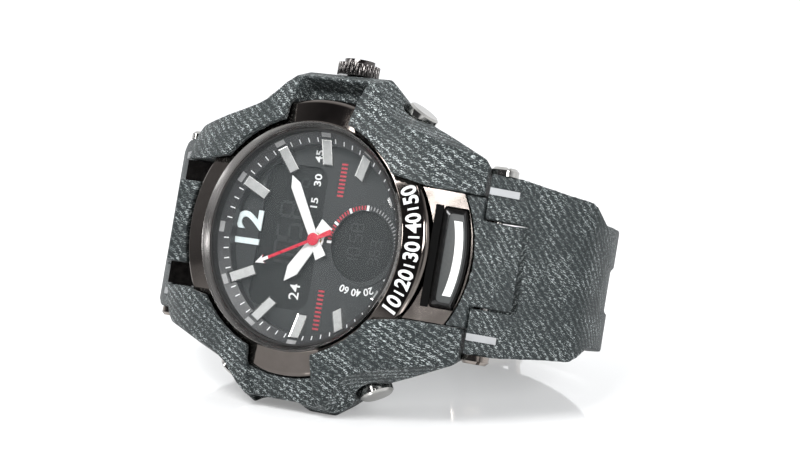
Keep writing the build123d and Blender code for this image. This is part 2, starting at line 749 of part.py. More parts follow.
def make_hour_hand():
    blade = (HOUR_HAND_REACH, HOUR_HAND_TAIL, HOUR_HAND_WIDTH)
    return hand(blade, HOUR_HAND_LEVEL, HOUR_PIPE_RADIUS, HOUR_HAND_ANGLE)


def make_minute_hand():
    blade = (MINUTE_HAND_REACH, MINUTE_HAND_TAIL, MINUTE_HAND_WIDTH)
    return hand(blade, MINUTE_HAND_LEVEL, CANNON_RADIUS, MINUTE_HAND_ANGLE)


def make_seconds_hand():
    top = SECONDS_HAND_LEVEL + HAND_THICKNESS
    half = SECONDS_HAND_WIDTH / 2
    tail_half = SECONDS_TAIL_WIDTH / 2
    arrow_base = SECONDS_HAND_REACH - ARROW_LENGTH
    outline = [
        (0, SECONDS_HAND_REACH),
        (ARROW_WIDTH / 2, arrow_base - half),
        (half, arrow_base + half),
        (half, 0),
        (tail_half, -SECONDS_HAND_TAIL),
        (-tail_half, -SECONDS_HAND_TAIL),
        (-half, 0),
        (-half, arrow_base + half),
        (-ARROW_WIDTH / 2, arrow_base - half),
    ]
    body = prism_z(outline, SECONDS_HAND_LEVEL, top)
    body += disc(SECONDS_HUB_RADIUS, SECONDS_HAND_LEVEL, SECONDS_HAND_LEVEL + SECONDS_HUB_HEIGHT)
    body -= disc(SECONDS_ARBOR_RADIUS, SECONDS_HAND_LEVEL, top - FIT_GAP)
    return turn_to(SECONDS_HAND_ANGLE) * body


# Wheel train

CANNON_PITCH = TRAIN_CENTRE_DISTANCE * CANNON_TEETH / (CANNON_TEETH + MINUTE_WHEEL_TEETH)
MINUTE_WHEEL_PITCH = TRAIN_CENTRE_DISTANCE - CANNON_PITCH
MINUTE_PINION_PITCH = TRAIN_CENTRE_DISTANCE * MINUTE_PINION_TEETH / (MINUTE_PINION_TEETH + HOUR_WHEEL_TEETH)
HOUR_WHEEL_PITCH = TRAIN_CENTRE_DISTANCE - MINUTE_PINION_PITCH


def make_hour_wheel():
    bottom = HOUR_WHEEL_BOTTOM
    body = gear(HOUR_WHEEL_TEETH, HOUR_WHEEL_PITCH, bottom, bottom + WHEEL_THICKNESS)
    body += disc(HOUR_PIPE_RADIUS, bottom, HOUR_HAND_LEVEL + HAND_THICKNESS)
    return body - disc(CANNON_RADIUS + RUNNING_GAP, bottom, HOUR_HAND_LEVEL + HAND_THICKNESS)


def make_cannon_pinion():
    top = MINUTE_HAND_LEVEL + HAND_THICKNESS
    pinion_bottom = MINUTE_WHEEL_BOTTOM - RUNNING_GAP
    pinion_top = MINUTE_WHEEL_BOTTOM + WHEEL_THICKNESS + RUNNING_GAP
    drive_top = DRIVE_WHEEL_BOTTOM + WHEEL_THICKNESS
    body = gear(CANNON_TEETH, CANNON_PITCH, pinion_bottom, pinion_top)
    body += gear(DRIVE_WHEEL_TEETH, DRIVE_WHEEL_RADIUS, DRIVE_WHEEL_BOTTOM, drive_top)
    body += disc(CANNON_RADIUS, DRIVE_WHEEL_BOTTOM, top)
    return body - disc(SECONDS_ARBOR_RADIUS + RUNNING_GAP, DRIVE_WHEEL_BOTTOM, top)


def make_minute_wheel():
    bottom = MINUTE_WHEEL_BOTTOM
    pinion_bottom = bottom + WHEEL_THICKNESS
    pinion_top = pinion_bottom + PINION_HEIGHT
    half_tooth = 180 / MINUTE_WHEEL_TEETH
    body = gear(MINUTE_WHEEL_TEETH, MINUTE_WHEEL_PITCH, bottom, pinion_bottom, half_tooth)
    half_tooth = 180 / MINUTE_PINION_TEETH
    body += gear(MINUTE_PINION_TEETH, MINUTE_PINION_PITCH, pinion_bottom, pinion_top, half_tooth)
    body -= disc(TRAIN_POST_RADIUS + RUNNING_GAP, bottom, pinion_top)
    return Pos(-TRAIN_CENTRE_DISTANCE, 0, 0) * body


def make_seconds_arbor():
    bottom = SECONDS_WHEEL_BOTTOM
    body = gear(SECONDS_WHEEL_TEETH, SECONDS_WHEEL_RADIUS, bottom, bottom + WHEEL_THICKNESS)
    return body + disc(SECONDS_ARBOR_RADIUS, MODULE_BOTTOM, SECONDS_HAND_LEVEL + HAND_THICKNESS - FIT_GAP)


# Module

def motor_places():
    return [(MOTOR_X, MOTOR_Y), (-MOTOR_X, MOTOR_Y)]


def motor_can(x, y, gap):
    half_length = MOTOR_LENGTH / 2 + gap
    half_width = MOTOR_WIDTH / 2 + gap
    y_range = (y - half_width, y + half_width)
    z_range = (MODULE_BOTTOM, MODULE_BOTTOM + MOTOR_HEIGHT + gap)
    return block((x - half_length, x + half_length), y_range, z_range)


def board_screw_places():
    return [on_circle(BOARD_SCREW_CIRCLE, angle) for angle in (60, 120, 250, 290)]


def make_module_frame():
    top = DIAL_TOP - DIAL_THICKNESS
    body = disc(MODULE_RADIUS, MODULE_BOTTOM, top)
    body -= lcd_window(LCD_MARGIN, top - LCD_THICKNESS, top)
    subdial_radius = SUBDIAL_WINDOW_RADIUS + LCD_MARGIN
    body -= disc(subdial_radius, top - LCD_THICKNESS, top, 0, SUBDIAL_Y)
    body -= disc(DIAL_HOLE_RADIUS, MODULE_BOTTOM, top)
    body -= disc(HOUR_WHEEL_PITCH + GEAR_ROOM_GAP, MODULE_BOTTOM, GEAR_ROOF)
    body -= disc(MINUTE_WHEEL_PITCH + GEAR_ROOM_GAP, MODULE_BOTTOM, GEAR_ROOF, -TRAIN_CENTRE_DISTANCE, 0)
    for x, y in motor_places():
        body -= motor_can(x, y, BODY_GAP)
    collar_end = STEM_GROOVE_X + STEM_GROOVE_WIDTH + CROWN_PULL + BODY_GAP
    body -= crown_rod(COLLAR_RADIUS + RUNNING_GAP, STEM_START - BODY_GAP, collar_end)
    body -= crown_rod(STEM_RADIUS + RUNNING_GAP, STEM_GROOVE_X, MODULE_RADIUS + OVERRUN)
    for hour in PUSHER_HOURS:
        start = PUSHER_START - PUSHER_STROKE - BODY_GAP
        body -= pusher_rod(hour, PUSHER_CLIP_RADIUS + BODY_GAP, start, MODULE_RADIUS + OVERRUN)
    for x, y in board_screw_places():
        body -= disc(BOARD_SCREW_RADIUS, MODULE_BOTTOM, board_screw_top(), x, y)
    return body + disc(TRAIN_POST_RADIUS, MODULE_BOTTOM, GEAR_ROOF, -TRAIN_CENTRE_DISTANCE, 0)


def board_screw_top():
    return MODULE_BOTTOM - BRIDGE_THICKNESS - BOARD_THICKNESS + BOARD_SCREW_LENGTH


def make_train_bridge():
    bottom = MODULE_BOTTOM - BRIDGE_THICKNESS
    body = disc(BRIDGE_RADIUS, bottom, MODULE_BOTTOM)
    for x, y in board_screw_places():
        body -= disc(BOARD_SCREW_RADIUS, bottom, MODULE_BOTTOM, x, y)
    return body


def make_circuit_board():
    top = MODULE_BOTTOM - BRIDGE_THICKNESS
    bottom = top - BOARD_THICKNESS
    body = disc(BOARD_RADIUS, bottom, top)
    for x, y in board_screw_places():
        body -= disc(BOARD_SCREW_RADIUS, bottom, top, x, y)
    return body


def make_board_screws():
    board_bottom = MODULE_BOTTOM - BRIDGE_THICKNESS - BOARD_THICKNESS
    screws = []
    for x, y in board_screw_places():
        screw = disc(BOARD_SCREW_RADIUS, board_bottom, board_screw_top(), x, y)
        screws.append(screw + disc(BOARD_HEAD_RADIUS, board_bottom - BOARD_HEAD_HEIGHT, board_bottom, x, y))
    return joined(screws)


def make_motors():
    return joined([motor_can(x, y, 0) for x, y in motor_places()])


BATTERY_TOP = MODULE_BOTTOM - BRIDGE_THICKNESS - BOARD_THICKNESS
BATTERY_BOTTOM = BATTERY_TOP - BATTERY_HEIGHT


def make_battery():
    return disc(BATTERY_RADIUS, BATTERY_BOTTOM, BATTERY_TOP, BATTERY_X)


def make_battery_clamp():
    width = (BATTERY_X - CLAMP_WIDTH / 2, BATTERY_X + CLAMP_WIDTH / 2)
    bottom = BATTERY_BOTTOM - CLAMP_THICKNESS
    reach = BATTERY_RADIUS + BODY_GAP
    outer = reach + CLAMP_THICKNESS
    across = block(width, (-outer, outer), (bottom, BATTERY_BOTTOM))
    for y in (reach, -outer):
        across += block(width, (y, y + CLAMP_THICKNESS), (bottom, BATTERY_TOP))
    for y in (reach, -reach - CLAMP_FOOT):
        across += block(width, (y, y + CLAMP_FOOT), (BATTERY_TOP - CLAMP_THICKNESS, BATTERY_TOP))
    return across


def make_buzzer():
    return disc(BUZZER_RADIUS, CASE_BOTTOM, CASE_BOTTOM + BUZZER_THICKNESS, BUZZER_X)


def make_module_spacer():
    outer = MODULE_RADIUS
    return ring(outer, outer - SPACER_WALL, CASE_BOTTOM, MODULE_BOTTOM)


# Crown and pushers

def make_crown():
    body = crown_rod(CROWN_SHANK_RADIUS, CROWN_SHANK_START, CROWN_FACE_X)
    body += crown_rod(CROWN_RADIUS, CROWN_HEAD_X, CROWN_FACE_X)
    body += crown_rod(CROWN_CAP_RADIUS, CROWN_FACE_X, CROWN_CAP_X)
    for flute in range(CROWN_FLUTES):
        y, z = on_circle(CROWN_RADIUS, 360 * flute / CROWN_FLUTES)
        body -= Pos(0, y, z) * crown_rod(CROWN_FLUTE_RADIUS, CROWN_HEAD_X, CROWN_FACE_X)
    bore_end = CROWN_TUBE_END + BODY_GAP
    body -= crown_rod(CROWN_TUBE_RADIUS + RUNNING_GAP, CROWN_SHANK_START, bore_end)
    return body - crown_rod(STEM_RADIUS, bore_end, STEM_THREAD_END)


def make_stem():
    body = rod((STEM_START, 0, CROWN_Z), (1, 0, 0), STEM_RADIUS, STEM_THREAD_END - STEM_START)
    groove_end = STEM_GROOVE_X + STEM_GROOVE_WIDTH
    groove = crown_rod(STEM_RADIUS, STEM_GROOVE_X, groove_end)
    groove -= crown_rod(STEM_GROOVE_RADIUS, STEM_GROOVE_X, groove_end)
    return body - groove


def make_setting_collar():
    """The collar that rides in the stem's groove: it slides with the stem but doesn't turn"""
    start = STEM_GROOVE_X + FIT_GAP
    end = STEM_GROOVE_X + STEM_GROOVE_WIDTH - FIT_GAP
    body = crown_rod(COLLAR_RADIUS, start, end)
    body -= crown_rod(STEM_GROOVE_RADIUS + FIT_GAP, start, end)
    return body


def make_crown_tube():
    length = CROWN_TUBE_END - CROWN_TUBE_START
    body = rod((CROWN_TUBE_START, 0, CROWN_Z), (1, 0, 0), CROWN_TUBE_RADIUS, length)
    body -= rod((CROWN_TUBE_START, 0, CROWN_Z), (1, 0, 0), STEM_RADIUS + RUNNING_GAP, length)
    mouth = CROWN_TUBE_END - CROWN_GASKET_LENGTH
    return body - rod((mouth, 0, CROWN_Z), (1, 0, 0), CROWN_GASKET_RADIUS, CROWN_GASKET_LENGTH)


def make_crown_gasket():
    mouth = CROWN_TUBE_END - CROWN_GASKET_LENGTH
    body = rod((mouth, 0, CROWN_Z), (1, 0, 0), CROWN_GASKET_RADIUS, CROWN_GASKET_LENGTH)
    return body - rod((mouth, 0, CROWN_Z), (1, 0, 0), STEM_RADIUS + FIT_GAP, CROWN_GASKET_LENGTH)


def make_pusher(hour):
    body = pusher_rod(hour, PUSHER_SHAFT_RADIUS, PUSHER_START, PUSHER_CAP_START)
    bevel_start = PUSHER_CAP_END - PUSHER_CAP_BEVEL
    body += pusher_rod(hour, PUSHER_CAP_RADIUS, PUSHER_CAP_START, bevel_start)
    direction = pusher_direction(hour)
    bevel_origin = (direction[0] * bevel_start, direction[1] * bevel_start, PUSHER_Z)
    bevel = Cone(
        PUSHER_CAP_RADIUS,
        PUSHER_CAP_RADIUS - PUSHER_CAP_BEVEL,
        PUSHER_CAP_BEVEL,
        align=(Align.CENTER, Align.CENTER, Align.MIN),
    )
    body += Plane(origin=bevel_origin, z_dir=direction) * bevel
    groove_end = PUSHER_CLIP_X + PUSHER_CLIP_WIDTH
    groove = pusher_rod(hour, PUSHER_SHAFT_RADIUS, PUSHER_CLIP_X, groove_end)
    groove -= pusher_rod(hour, PUSHER_SHAFT_RADIUS - PUSHER_CLIP_GROOVE, PUSHER_CLIP_X, groove_end)
    return body - groove


def make_pusher_clip(hour):
    end = PUSHER_CLIP_X + PUSHER_CLIP_WIDTH
    body = pusher_rod(hour, PUSHER_CLIP_RADIUS, PUSHER_CLIP_X, end)
    return body - pusher_rod(hour, PUSHER_SHAFT_RADIUS - PUSHER_CLIP_GROOVE, PUSHER_CLIP_X, end)


def make_pusher_tubes():
    tubes = []
    for hour in PUSHER_HOURS:
        tube = pusher_rod(hour, PUSHER_TUBE_RADIUS, PUSHER_TUBE_START, PUSHER_TUBE_END)
        bore_radius = PUSHER_SHAFT_RADIUS + RUNNING_GAP
        tubes.append(tube - pusher_rod(hour, bore_radius, PUSHER_TUBE_START, PUSHER_TUBE_END))
    return joined(tubes)


# Guard halves

def guard_outline(share, height):
    """The outline of the 3 o'clock half at one height"""
    upper = [(x * GUARD_HALF_WIDTH, y * GUARD_HALF_LENGTH) for x, y in GUARD_OUTLINE_SHARES]
    lower = [(x, -y) for x, y in reversed(upper)]
    points = [(x * share, y * share, height) for x, y in upper + lower]
    return make_face(Polyline(points, close=True))


def guard_dome():
    """Everything under the guard's sloping top"""
    slope = ThreePointArc(
        (GUARD_RIM_RADIUS - BODY_GAP, 0, GUARD_RIM_Z),
        (GUARD_SLOPE_RADIUS, 0, GUARD_SLOPE_Z),
        (GUARD_CLAW_RADIUS, 0, GUARD_CLAW_Z),
    )
    rest = Polyline(
        slope @ 1,
        (GUARD_CLAW_RADIUS, 0, GUARD_BOTTOM),
        (0, 0, GUARD_BOTTOM),
        (0, 0, GUARD_RIM_Z),
        slope @ 0,
    )
    return revolve(make_face([slope, rest]), Axis.Z)


def bezel_room():
    """The space of the case and bezel ring, with a gap"""
    return turned([
        (0, GUARD_BOTTOM - OVERRUN),
        (CASE_RADIUS + FIT_GAP, GUARD_BOTTOM - OVERRUN),
        (CASE_RADIUS + FIT_GAP, CASE_TOP + BODY_GAP),
        (FLANGE_EDGE + BODY_GAP, CASE_TOP + BODY_GAP),
        (FLANGE_EDGE + BODY_GAP, FLANGE_EDGE_TOP + BODY_GAP),
        (FLANGE_OUTER + BODY_GAP, FLANGE_OUTER_TOP + BODY_GAP),
        (GUARD_RIM_RADIUS, FLANGE_INNER_TOP),
        (GUARD_RIM_RADIUS, GUARD_TOP + OVERRUN),
        (0, GUARD_TOP + OVERRUN),
    ])


def guard_throat():
    """The opening between the claws at 12 and 6 o'clock, which widens towards the dial"""
    end = GUARD_HALF_LENGTH + OVERRUN
    points = [
        (GUARD_MOUTH_HALF_WIDTH, -GUARD_MOUTH_Y),
        (GUARD_MOUTH_HALF_WIDTH, GUARD_MOUTH_Y),
        (GUARD_THROAT_HALF_WIDTH, GUARD_THROAT_Y),
        (GUARD_THROAT_HALF_WIDTH, end),
    ]
    left = [(-x, y) for x, y in reversed(points)]
    low = [(GUARD_THROAT_HALF_WIDTH, -end), (GUARD_THROAT_HALF_WIDTH, -GUARD_THROAT_Y)]
    low_left = [(-x, y) for x, y in reversed(low)]
    return prism_z(low + points + left + low_left, GUARD_BOTTOM - OVERRUN, GUARD_TOP + OVERRUN)


def guard_blank():
    """The 3 o'clock half before its side is cut for the crown"""
    body = loft(
        [
            guard_outline(GUARD_BOTTOM_SHARE, GUARD_BOTTOM),
            guard_outline(1, GUARD_WIDEST_Z),
            guard_outline(GUARD_TOP_SHARE, GUARD_TOP),
        ],
        ruled=True,
    )
    body = body & guard_dome()
    body = body - bezel_room() - guard_throat()
    head_start = (STRAP_LUG_HALF_WIDTH - BODY_GAP, LUG_PIN_Y, LUG_PIN_Z)
    head = rod(head_start, (1, 0, 0), LUG_HEAD_RADIUS + BODY_GAP, OVERRUN)
    body = body - head - mirrored_y(head)
    for hour in (2, 4):
        body -= pusher_rod(hour, PUSHER_TUBE_RADIUS + FIT_GAP, CASE_BORE_RADIUS, GUARD_HALF_LENGTH)
        pocket_radius = PUSHER_CAP_RADIUS + PUSHER_POCKET_GAP
        body -= pusher_rod(hour, pocket_radius, PUSHER_TUBE_END, GUARD_HALF_WIDTH + OVERRUN)
    notch_y = (GUARD_NOTCH_START_Y, GUARD_NOTCH_END_Y)
    body -= block((0, GUARD_HALF_WIDTH + OVERRUN), notch_y, (GUARD_BOTTOM - OVERRUN, GUARD_UNDERCUT_Z))
    step_y = (GUARD_STEP_Y, GUARD_STEP_Y + GUARD_STEP_DEPTH)
    step_x = (GUARD_STEP_X, GUARD_HALF_WIDTH)
    step = block(step_x, step_y, (-OVERRUN, GUARD_TOP)) & (guard_shell_room())
    return body - step - mirrored_y(step)


def guard_shell_room():
    """The skin of the sloping top that a step line is cut into"""
    whole = Pos(0, 0, GUARD_STEP_DEPTH) * guard_dome()
    return whole - Pos(0, 0, -GUARD_STEP_DEPTH) * guard_dome()


def make_guard_3():
    outside = GUARD_HALF_WIDTH + OVERRUN
    inside = GUARD_RIM_RADIUS - OVERRUN
    pocket = prism_y(
        [
            (inside, GUARD_TOP + OVERRUN),
            (inside, CROWN_POCKET_Z),
            (CROWN_POCKET_X, CROWN_POCKET_Z),
            (CROWN_RIM_X, CROWN_RIM_Z),
            (GUARD_HALF_WIDTH, CROWN_SIDE_Z),
            (outside, CROWN_SIDE_Z),
            (outside, GUARD_TOP + OVERRUN),
        ],
        GUARD_CUTOUT_HALF_WIDTH,
    )
    body = guard_blank() - pocket
    return body - crown_rod(CROWN_SHANK_RADIUS + BODY_GAP, CASE_BORE_RADIUS, GUARD_HALF_WIDTH + OVERRUN)


def make_guard_9():
    outside = GUARD_HALF_WIDTH + OVERRUN
    inside = GUARD_RIM_RADIUS - OVERRUN
    cutout = prism_y(
        [
            (inside, GUARD_TOP + OVERRUN),
            (inside, BRIDGE_EDGE_Z),
            (BRIDGE_EDGE_X, BRIDGE_EDGE_Z),
            (BRIDGE_BEND_X, BRIDGE_BEND_Z),
            (GUARD_HALF_WIDTH, BRIDGE_SIDE_Z),
            (outside, BRIDGE_SIDE_Z),
            (outside, GUARD_TOP + OVERRUN),
        ],
        GUARD_CUTOUT_HALF_WIDTH,
    )
    notch_y = (GUARD_NOTCH_START_Y, GUARD_NOTCH_END_Y)
    notch = block((GUARD_HALF_WIDTH - GUARD_NOTCH_DEPTH, outside), notch_y, (GUARD_BOTTOM, GUARD_TOP))
    return mirror(guard_blank() - cutout - notch, about=Plane.YZ)


def side_foot():
    """The hard foot under the guard at 3 o'clock"""
    inner = CASE_RADIUS * math.cos(math.asin(FOOT_END_Y / CASE_RADIUS)) - OVERRUN
    profile = [
        (inner, FOOT_TOP),
        (FOOT_SHOULDER_X, FOOT_TOP),
        (FOOT_HALF_WIDTH, FOOT_EDGE_TOP),
        (FOOT_HALF_WIDTH, FOOT_EDGE_BOTTOM),
        (FOOT_HEEL_X, FOOT_BOTTOM),
        (inner, FOOT_BOTTOM),
    ]
    body = prism_y(profile, FOOT_END_Y)
    body &= block((0, FOOT_HALF_WIDTH), (FOOT_START_Y, FOOT_END_Y), (FOOT_BOTTOM, FOOT_TOP))
    return body - disc(CASE_RADIUS + FIT_GAP, FOOT_BOTTOM, FOOT_TOP)


def make_side_feet():
    crown_room = crown_rod(CROWN_SHANK_RADIUS + BODY_GAP, CASE_RADIUS, FOOT_HALF_WIDTH)
    length = (FOOT_START_Y, FOOT_END_Y)
    overhang = block((FOOT_SHOULDER_X, FOOT_HALF_WIDTH), length, (FOOT_BOTTOM, FOOT_TOP))
    return (side_foot() - crown_room - overhang) + mirror(side_foot(), about=Plane.YZ)


# Front panel and light button

def panel_plan(gap):
    """The panel's plan as a tall block, with a gap added at its curved end"""
    corner = PANEL_CORNER_Y - gap
    arc = ThreePointArc(
        (-PANEL_HALF_WIDTH, corner, 0), (0, PANEL_END_Y - gap, 0), (PANEL_HALF_WIDTH, corner, 0)
    )
    sides = Polyline(arc @ 1, (PANEL_HALF_WIDTH, 0, 0), (-PANEL_HALF_WIDTH, 0, 0), arc @ 0)
    return extrude(make_face([arc, sides]), 2 * PANEL_HALF_WIDTH, dir=(0, 0, 1), both=True)


def make_front_panel():
    body = panel_slab(0, -PANEL_THICKNESS) & panel_plan(0)
    body = body - disc(CASE_RADIUS + BODY_GAP, -2 * PANEL_HALF_WIDTH, 2 * PANEL_HALF_WIDTH)
    return body - PANEL_PLANE * extrude(button_outline(0), 2 * PANEL_THICKNESS, both=True)


def make_light_button():
    base = button_outline(BUTTON_GAP)
    shoulder = BUTTON_PROUD - BUTTON_DEPTH / 2
    body = extrude(Pos(0, 0, -BUTTON_DEPTH) * base, BUTTON_DEPTH + shoulder)
    face = button_outline(BUTTON_GAP + BUTTON_BEVEL)
    body += loft([Pos(0, 0, shoulder) * base, Pos(0, 0, BUTTON_PROUD) * face], ruled=True)
    stem = Cylinder(BUTTON_STEM_RADIUS, BUTTON_STEM_LENGTH, align=(Align.CENTER, Align.CENTER, Align.MAX))
    return PANEL_PLANE * (body + Pos(0, 0, -BUTTON_DEPTH) * stem)


def make_light_bar():
    """The pale bar on the button's face, curved as the button's lower edge is"""
    lower = BUTTON_CURVE_RADIUS - BUTTON_GAP - BUTTON_BEVEL - BAR_END_GAP
    bar = Circle(lower) - Circle(lower - BAR_WIDTH)
    bar = Pos(0, BUTTON_CURVE_RADIUS - BUTTON_HOLE_END) * bar
    limits = Rectangle(2 * BAR_HALF_WIDTH, BUTTON_CURVE_RADIUS)
    return PANEL_PLANE * (Pos(0, 0, BUTTON_PROUD) * extrude(bar & limits, BAR_HEIGHT))


# End links

def link_profile():
    """The part of an end link that lies over the pin, in the strap's own slope"""
    return [
        (LUG_BLOCK_END + BODY_GAP, STRAP_UNDERSIDE_Z),
        (STRAP_INNER_BEND_Y, STRAP_UNDERSIDE_Z),
        (LINK_END_Y, LINK_END_Z),
        (STRAP_BEND_Y, STRAP_BEND_Z),
        (STRAP_START_Y, STRAP_START_Z),
    ]


def link_bore():
    return cross_rod(LUG_PIN_Y, LUG_PIN_Z, LUG_PIN_RADIUS + FIT_GAP, STRAP_LUG_HALF_WIDTH)


def make_end_link_12():
    seat = LUG_BLOCK_TOP + BODY_GAP
    upper = [
        (LUG_BLOCK_END + BODY_GAP + BUMPER_CORNER, BUMPER_TOP - BUMPER_DROP),
        (BUMPER_OUTER_Y, BUMPER_TOP),
        (BUMPER_INNER_Y + BUMPER_CORNER, BUMPER_TOP),
        (BUMPER_INNER_Y - BUMPER_CORNER, BUMPER_TOP - BUMPER_CORNER),
        (BUMPER_INNER_Y - BUMPER_CORNER, seat),
        (LUG_BLOCK_END + BODY_GAP, seat),
    ]
    body = prism_x(link_profile() + upper, LINK_HALF_WIDTH)
    return body - link_bore() - disc(CASE_RADIUS + BODY_GAP, CASE_BOTTOM, BUMPER_TOP)


def make_end_link_6():
    """The centre piece and the apron that fills the slope between it and the front panel"""
    body = mirrored_y(prism_x(link_profile(), LINK_HALF_WIDTH) - link_bore())
    width = (-PANEL_HALF_WIDTH, PANEL_HALF_WIDTH)
    apron = panel_slab(0, BODY_GAP - PANEL_THICKNESS)
    apron &= block(width, (BODY_GAP - STRAP_START_Y, 0), (CASE_BOTTOM, 0))
    below_panel = panel_slab(OVERRUN, -PANEL_THICKNESS - BODY_GAP) & panel_plan(BODY_GAP)
    return (body + apron) - below_panel


# Strap

def loop_point(angle, offset):
    """A point of the loop, by its angle from the bottom towards 12 o'clock and its offset outwards"""
    turn = math.radians(angle)
    y = (LOOP_HALF_SPAN + offset) * math.sin(turn)
    return (0, y, LOOP_CENTRE_Z - (LOOP_DROP + offset) * math.cos(turn))


def lap(angle):
    """How far the long half stands out where it laps over the short half"""
    share = (angle - LAP_START_ANGLE) / (LAP_END_ANGLE - LAP_START_ANGLE)
    share = min(max(share, 0), 1)
    return (STRAP_THICKNESS + STRAP_LAP_GAP) * (1 - math.cos(math.pi * share)) / 2


def no_lap(angle):
    return 0


def loop_curve(start, end, offset, lift):
    """A smooth curve along the loop between two angles"""
    steps = max(math.ceil(abs(end - start) / LOOP_STEP_ANGLE), 2)
    angles = [start + (end - start) * step / steps for step in range(steps + 1)]
    return Spline([loop_point(angle, offset + lift(angle)) for angle in angles])


def loop_band(start, end, inner, outer, lift, half_width):
    """A curved slab along the loop between two angles and two offsets"""
    upper = loop_curve(start, end, outer, lift)
    lower = loop_curve(start, end, inner, lift)
    face = make_face([upper, lower, Line(upper @ 0, lower @ 0), Line(upper @ 1, lower @ 1)])
    return extrude(face, half_width, dir=(1, 0, 0), both=True)


def strap_arm():
    """The thick end of a strap half, from the lugs to the widest place of the loop, at 12 o'clock"""
    outer_end = loop_point(90, 0)
    inner_end = loop_point(90, -STRAP_THICKNESS)
    bend = (0, STRAP_BEND_Y, STRAP_BEND_Z)
    inner_bend = (0, STRAP_INNER_BEND_Y, STRAP_INNER_BEND_Z)
    outer = Spline([bend, (0, STRAP_ARM_Y, STRAP_ARM_Z), outer_end], tangents=[(0, 1, -1), (0, 0, -1)])
    inner = Spline(
        [inner_bend, (0, STRAP_INNER_ARM_Y, STRAP_INNER_ARM_Z), inner_end], tangents=[(0, 1, -1), (0, 0, -1)]
    )
    lug_end = Polyline(
        inner_bend,
        (0, STRAP_START_Y, STRAP_UNDERSIDE_Z),
        (0, STRAP_START_Y, STRAP_START_Z),
        bend,
    )
    face = make_face([outer, inner, lug_end, Line(outer_end, inner_end)])
    return extrude(face, STRAP_LUG_HALF_WIDTH, dir=(1, 0, 0), both=True)


def strap_sides():
    """The strap's outline seen along 6 to 12 o'clock, wide at the lugs and narrow in the loop"""
    top = STRAP_START_Z + OVERRUN
    bottom = BUCKLE_FOOT_Z - OVERRUN
    right = [
        (STRAP_LUG_HALF_WIDTH, top),
        (STRAP_LUG_HALF_WIDTH, STRAP_BEND_Z),
        (STRAP_ARM_HALF_WIDTH, STRAP_ARM_Z),
        (STRAP_SHOULDER_HALF_WIDTH, STRAP_SHOULDER_Z),
        (STRAP_HALF_WIDTH, STRAP_NECK_Z),
        (STRAP_HALF_WIDTH, bottom),
    ]
    left = [(-x, z) for x, z in reversed(right)]
    return prism_y(right + left, LOOP_HALF_SPAN + OVERRUN)


def strap_lug_cuts():
    """What is cut from a strap end at 12 o'clock: room for the end link, the ears and the pin"""
    centre = LINK_HALF_WIDTH + LINK_SLIT
    link_end = LINK_END_Y + LINK_SLIT
    cuts = block((-centre, centre), (0, link_end), (STRAP_INNER_BEND_Z - OVERRUN, 0))
    room_radius = LUG_EAR_RADIUS + BODY_GAP
    room_width = LUG_EAR_WIDTH + 2 * BODY_GAP
    room_bottom = LUG_PIN_Z - room_radius - OVERRUN
    for x in (LUG_EAR_INNER - BODY_GAP, -LUG_EAR_INNER - LUG_EAR_WIDTH - BODY_GAP):
        x_range = (x, x + room_width)
        cuts += block(x_range, (0, LUG_PIN_Y), (room_bottom, LUG_PIN_Z + room_radius))
        cuts += rod((x, LUG_PIN_Y, LUG_PIN_Z), (1, 0, 0), room_radius, room_width)
        cuts += block(x_range, (0, LUG_PIN_Y + room_radius), (room_bottom, LUG_PIN_Z))
    return cuts + link_bore()


def insert_at(x):
    """One pale strip let into the strap's sloping end at 12 o'clock"""
    run_y = STRAP_BEND_Y - STRAP_START_Y
    run_z = STRAP_BEND_Z - STRAP_START_Z
    length = math.hypot(run_y, run_z)
    start, end = INSERT_SHARES
    middle = (start + end) / 2
    centre = (x, STRAP_START_Y + middle * run_y, STRAP_START_Z + middle * run_z)
    face = Plane(origin=centre, x_dir=(1, 0, 0), z_dir=(0, -run_z, run_y))
    strip_length = (end - start) * length
    strip = Box(INSERT_WIDTH, strip_length, INSERT_DEPTH, align=(Align.CENTER, Align.CENTER, Align.MAX))
    return face * (Pos(0, 0, INSERT_PROUD) * strip)


def upper_inserts():
    return insert_at(INSERT_X) + insert_at(-INSERT_X)


def make_strap_inserts():
    return upper_inserts() + mirrored_y(upper_inserts())


BUCKLE_BAR = loop_point(BUCKLE_BAR_ANGLE, -STRAP_THICKNESS / 2)


def make_strap_12():
    body = strap_arm() + loop_band(90, BUCKLE_BAR_ANGLE, -STRAP_THICKNESS, 0, no_lap, STRAP_LUG_HALF_WIDTH)
    body += cross_rod(BUCKLE_BAR[1], BUCKLE_BAR[2], STRAP_THICKNESS / 2, STRAP_LUG_HALF_WIDTH)
    body = body & strap_sides()
    body = body - strap_lug_cuts() - upper_inserts()
    body -= cross_rod(BUCKLE_BAR[1], BUCKLE_BAR[2], BUCKLE_BAR_RADIUS + FIT_GAP, BUCKLE_HALF_WIDTH)
    half_slot = TONGUE_WIDTH / 2 + TONGUE_SLOT_GAP
    slot_end = BUCKLE_BAR[1] + TONGUE_EYE_RADIUS + TONGUE_SLOT_GAP
    slot_y = (BUCKLE_BAR[1] - STRAP_THICKNESS, slot_end)
    slot_z = (BUCKLE_BAR[2] - STRAP_THICKNESS, BUCKLE_BAR[2] + STRAP_THICKNESS)
    return body - block((-half_slot, half_slot), slot_y, slot_z)


def hole_angles():
    return [FIRST_HOLE_ANGLE + HOLE_PITCH_ANGLE * index for index in range(HOLE_COUNT)]


def strap_hole(angle):
    """One buckle hole, square to the strap"""
    place = loop_point(angle, lap(angle))
    turn = math.radians(angle)
    outward = (0, math.sin(turn) * LOOP_DROP, -math.cos(turn) * LOOP_HALF_SPAN)
    square = Plane(origin=place, x_dir=(1, 0, 0), z_dir=outward)
    return square * Box(HOLE_WIDTH, HOLE_LENGTH, 4 * STRAP_THICKNESS)


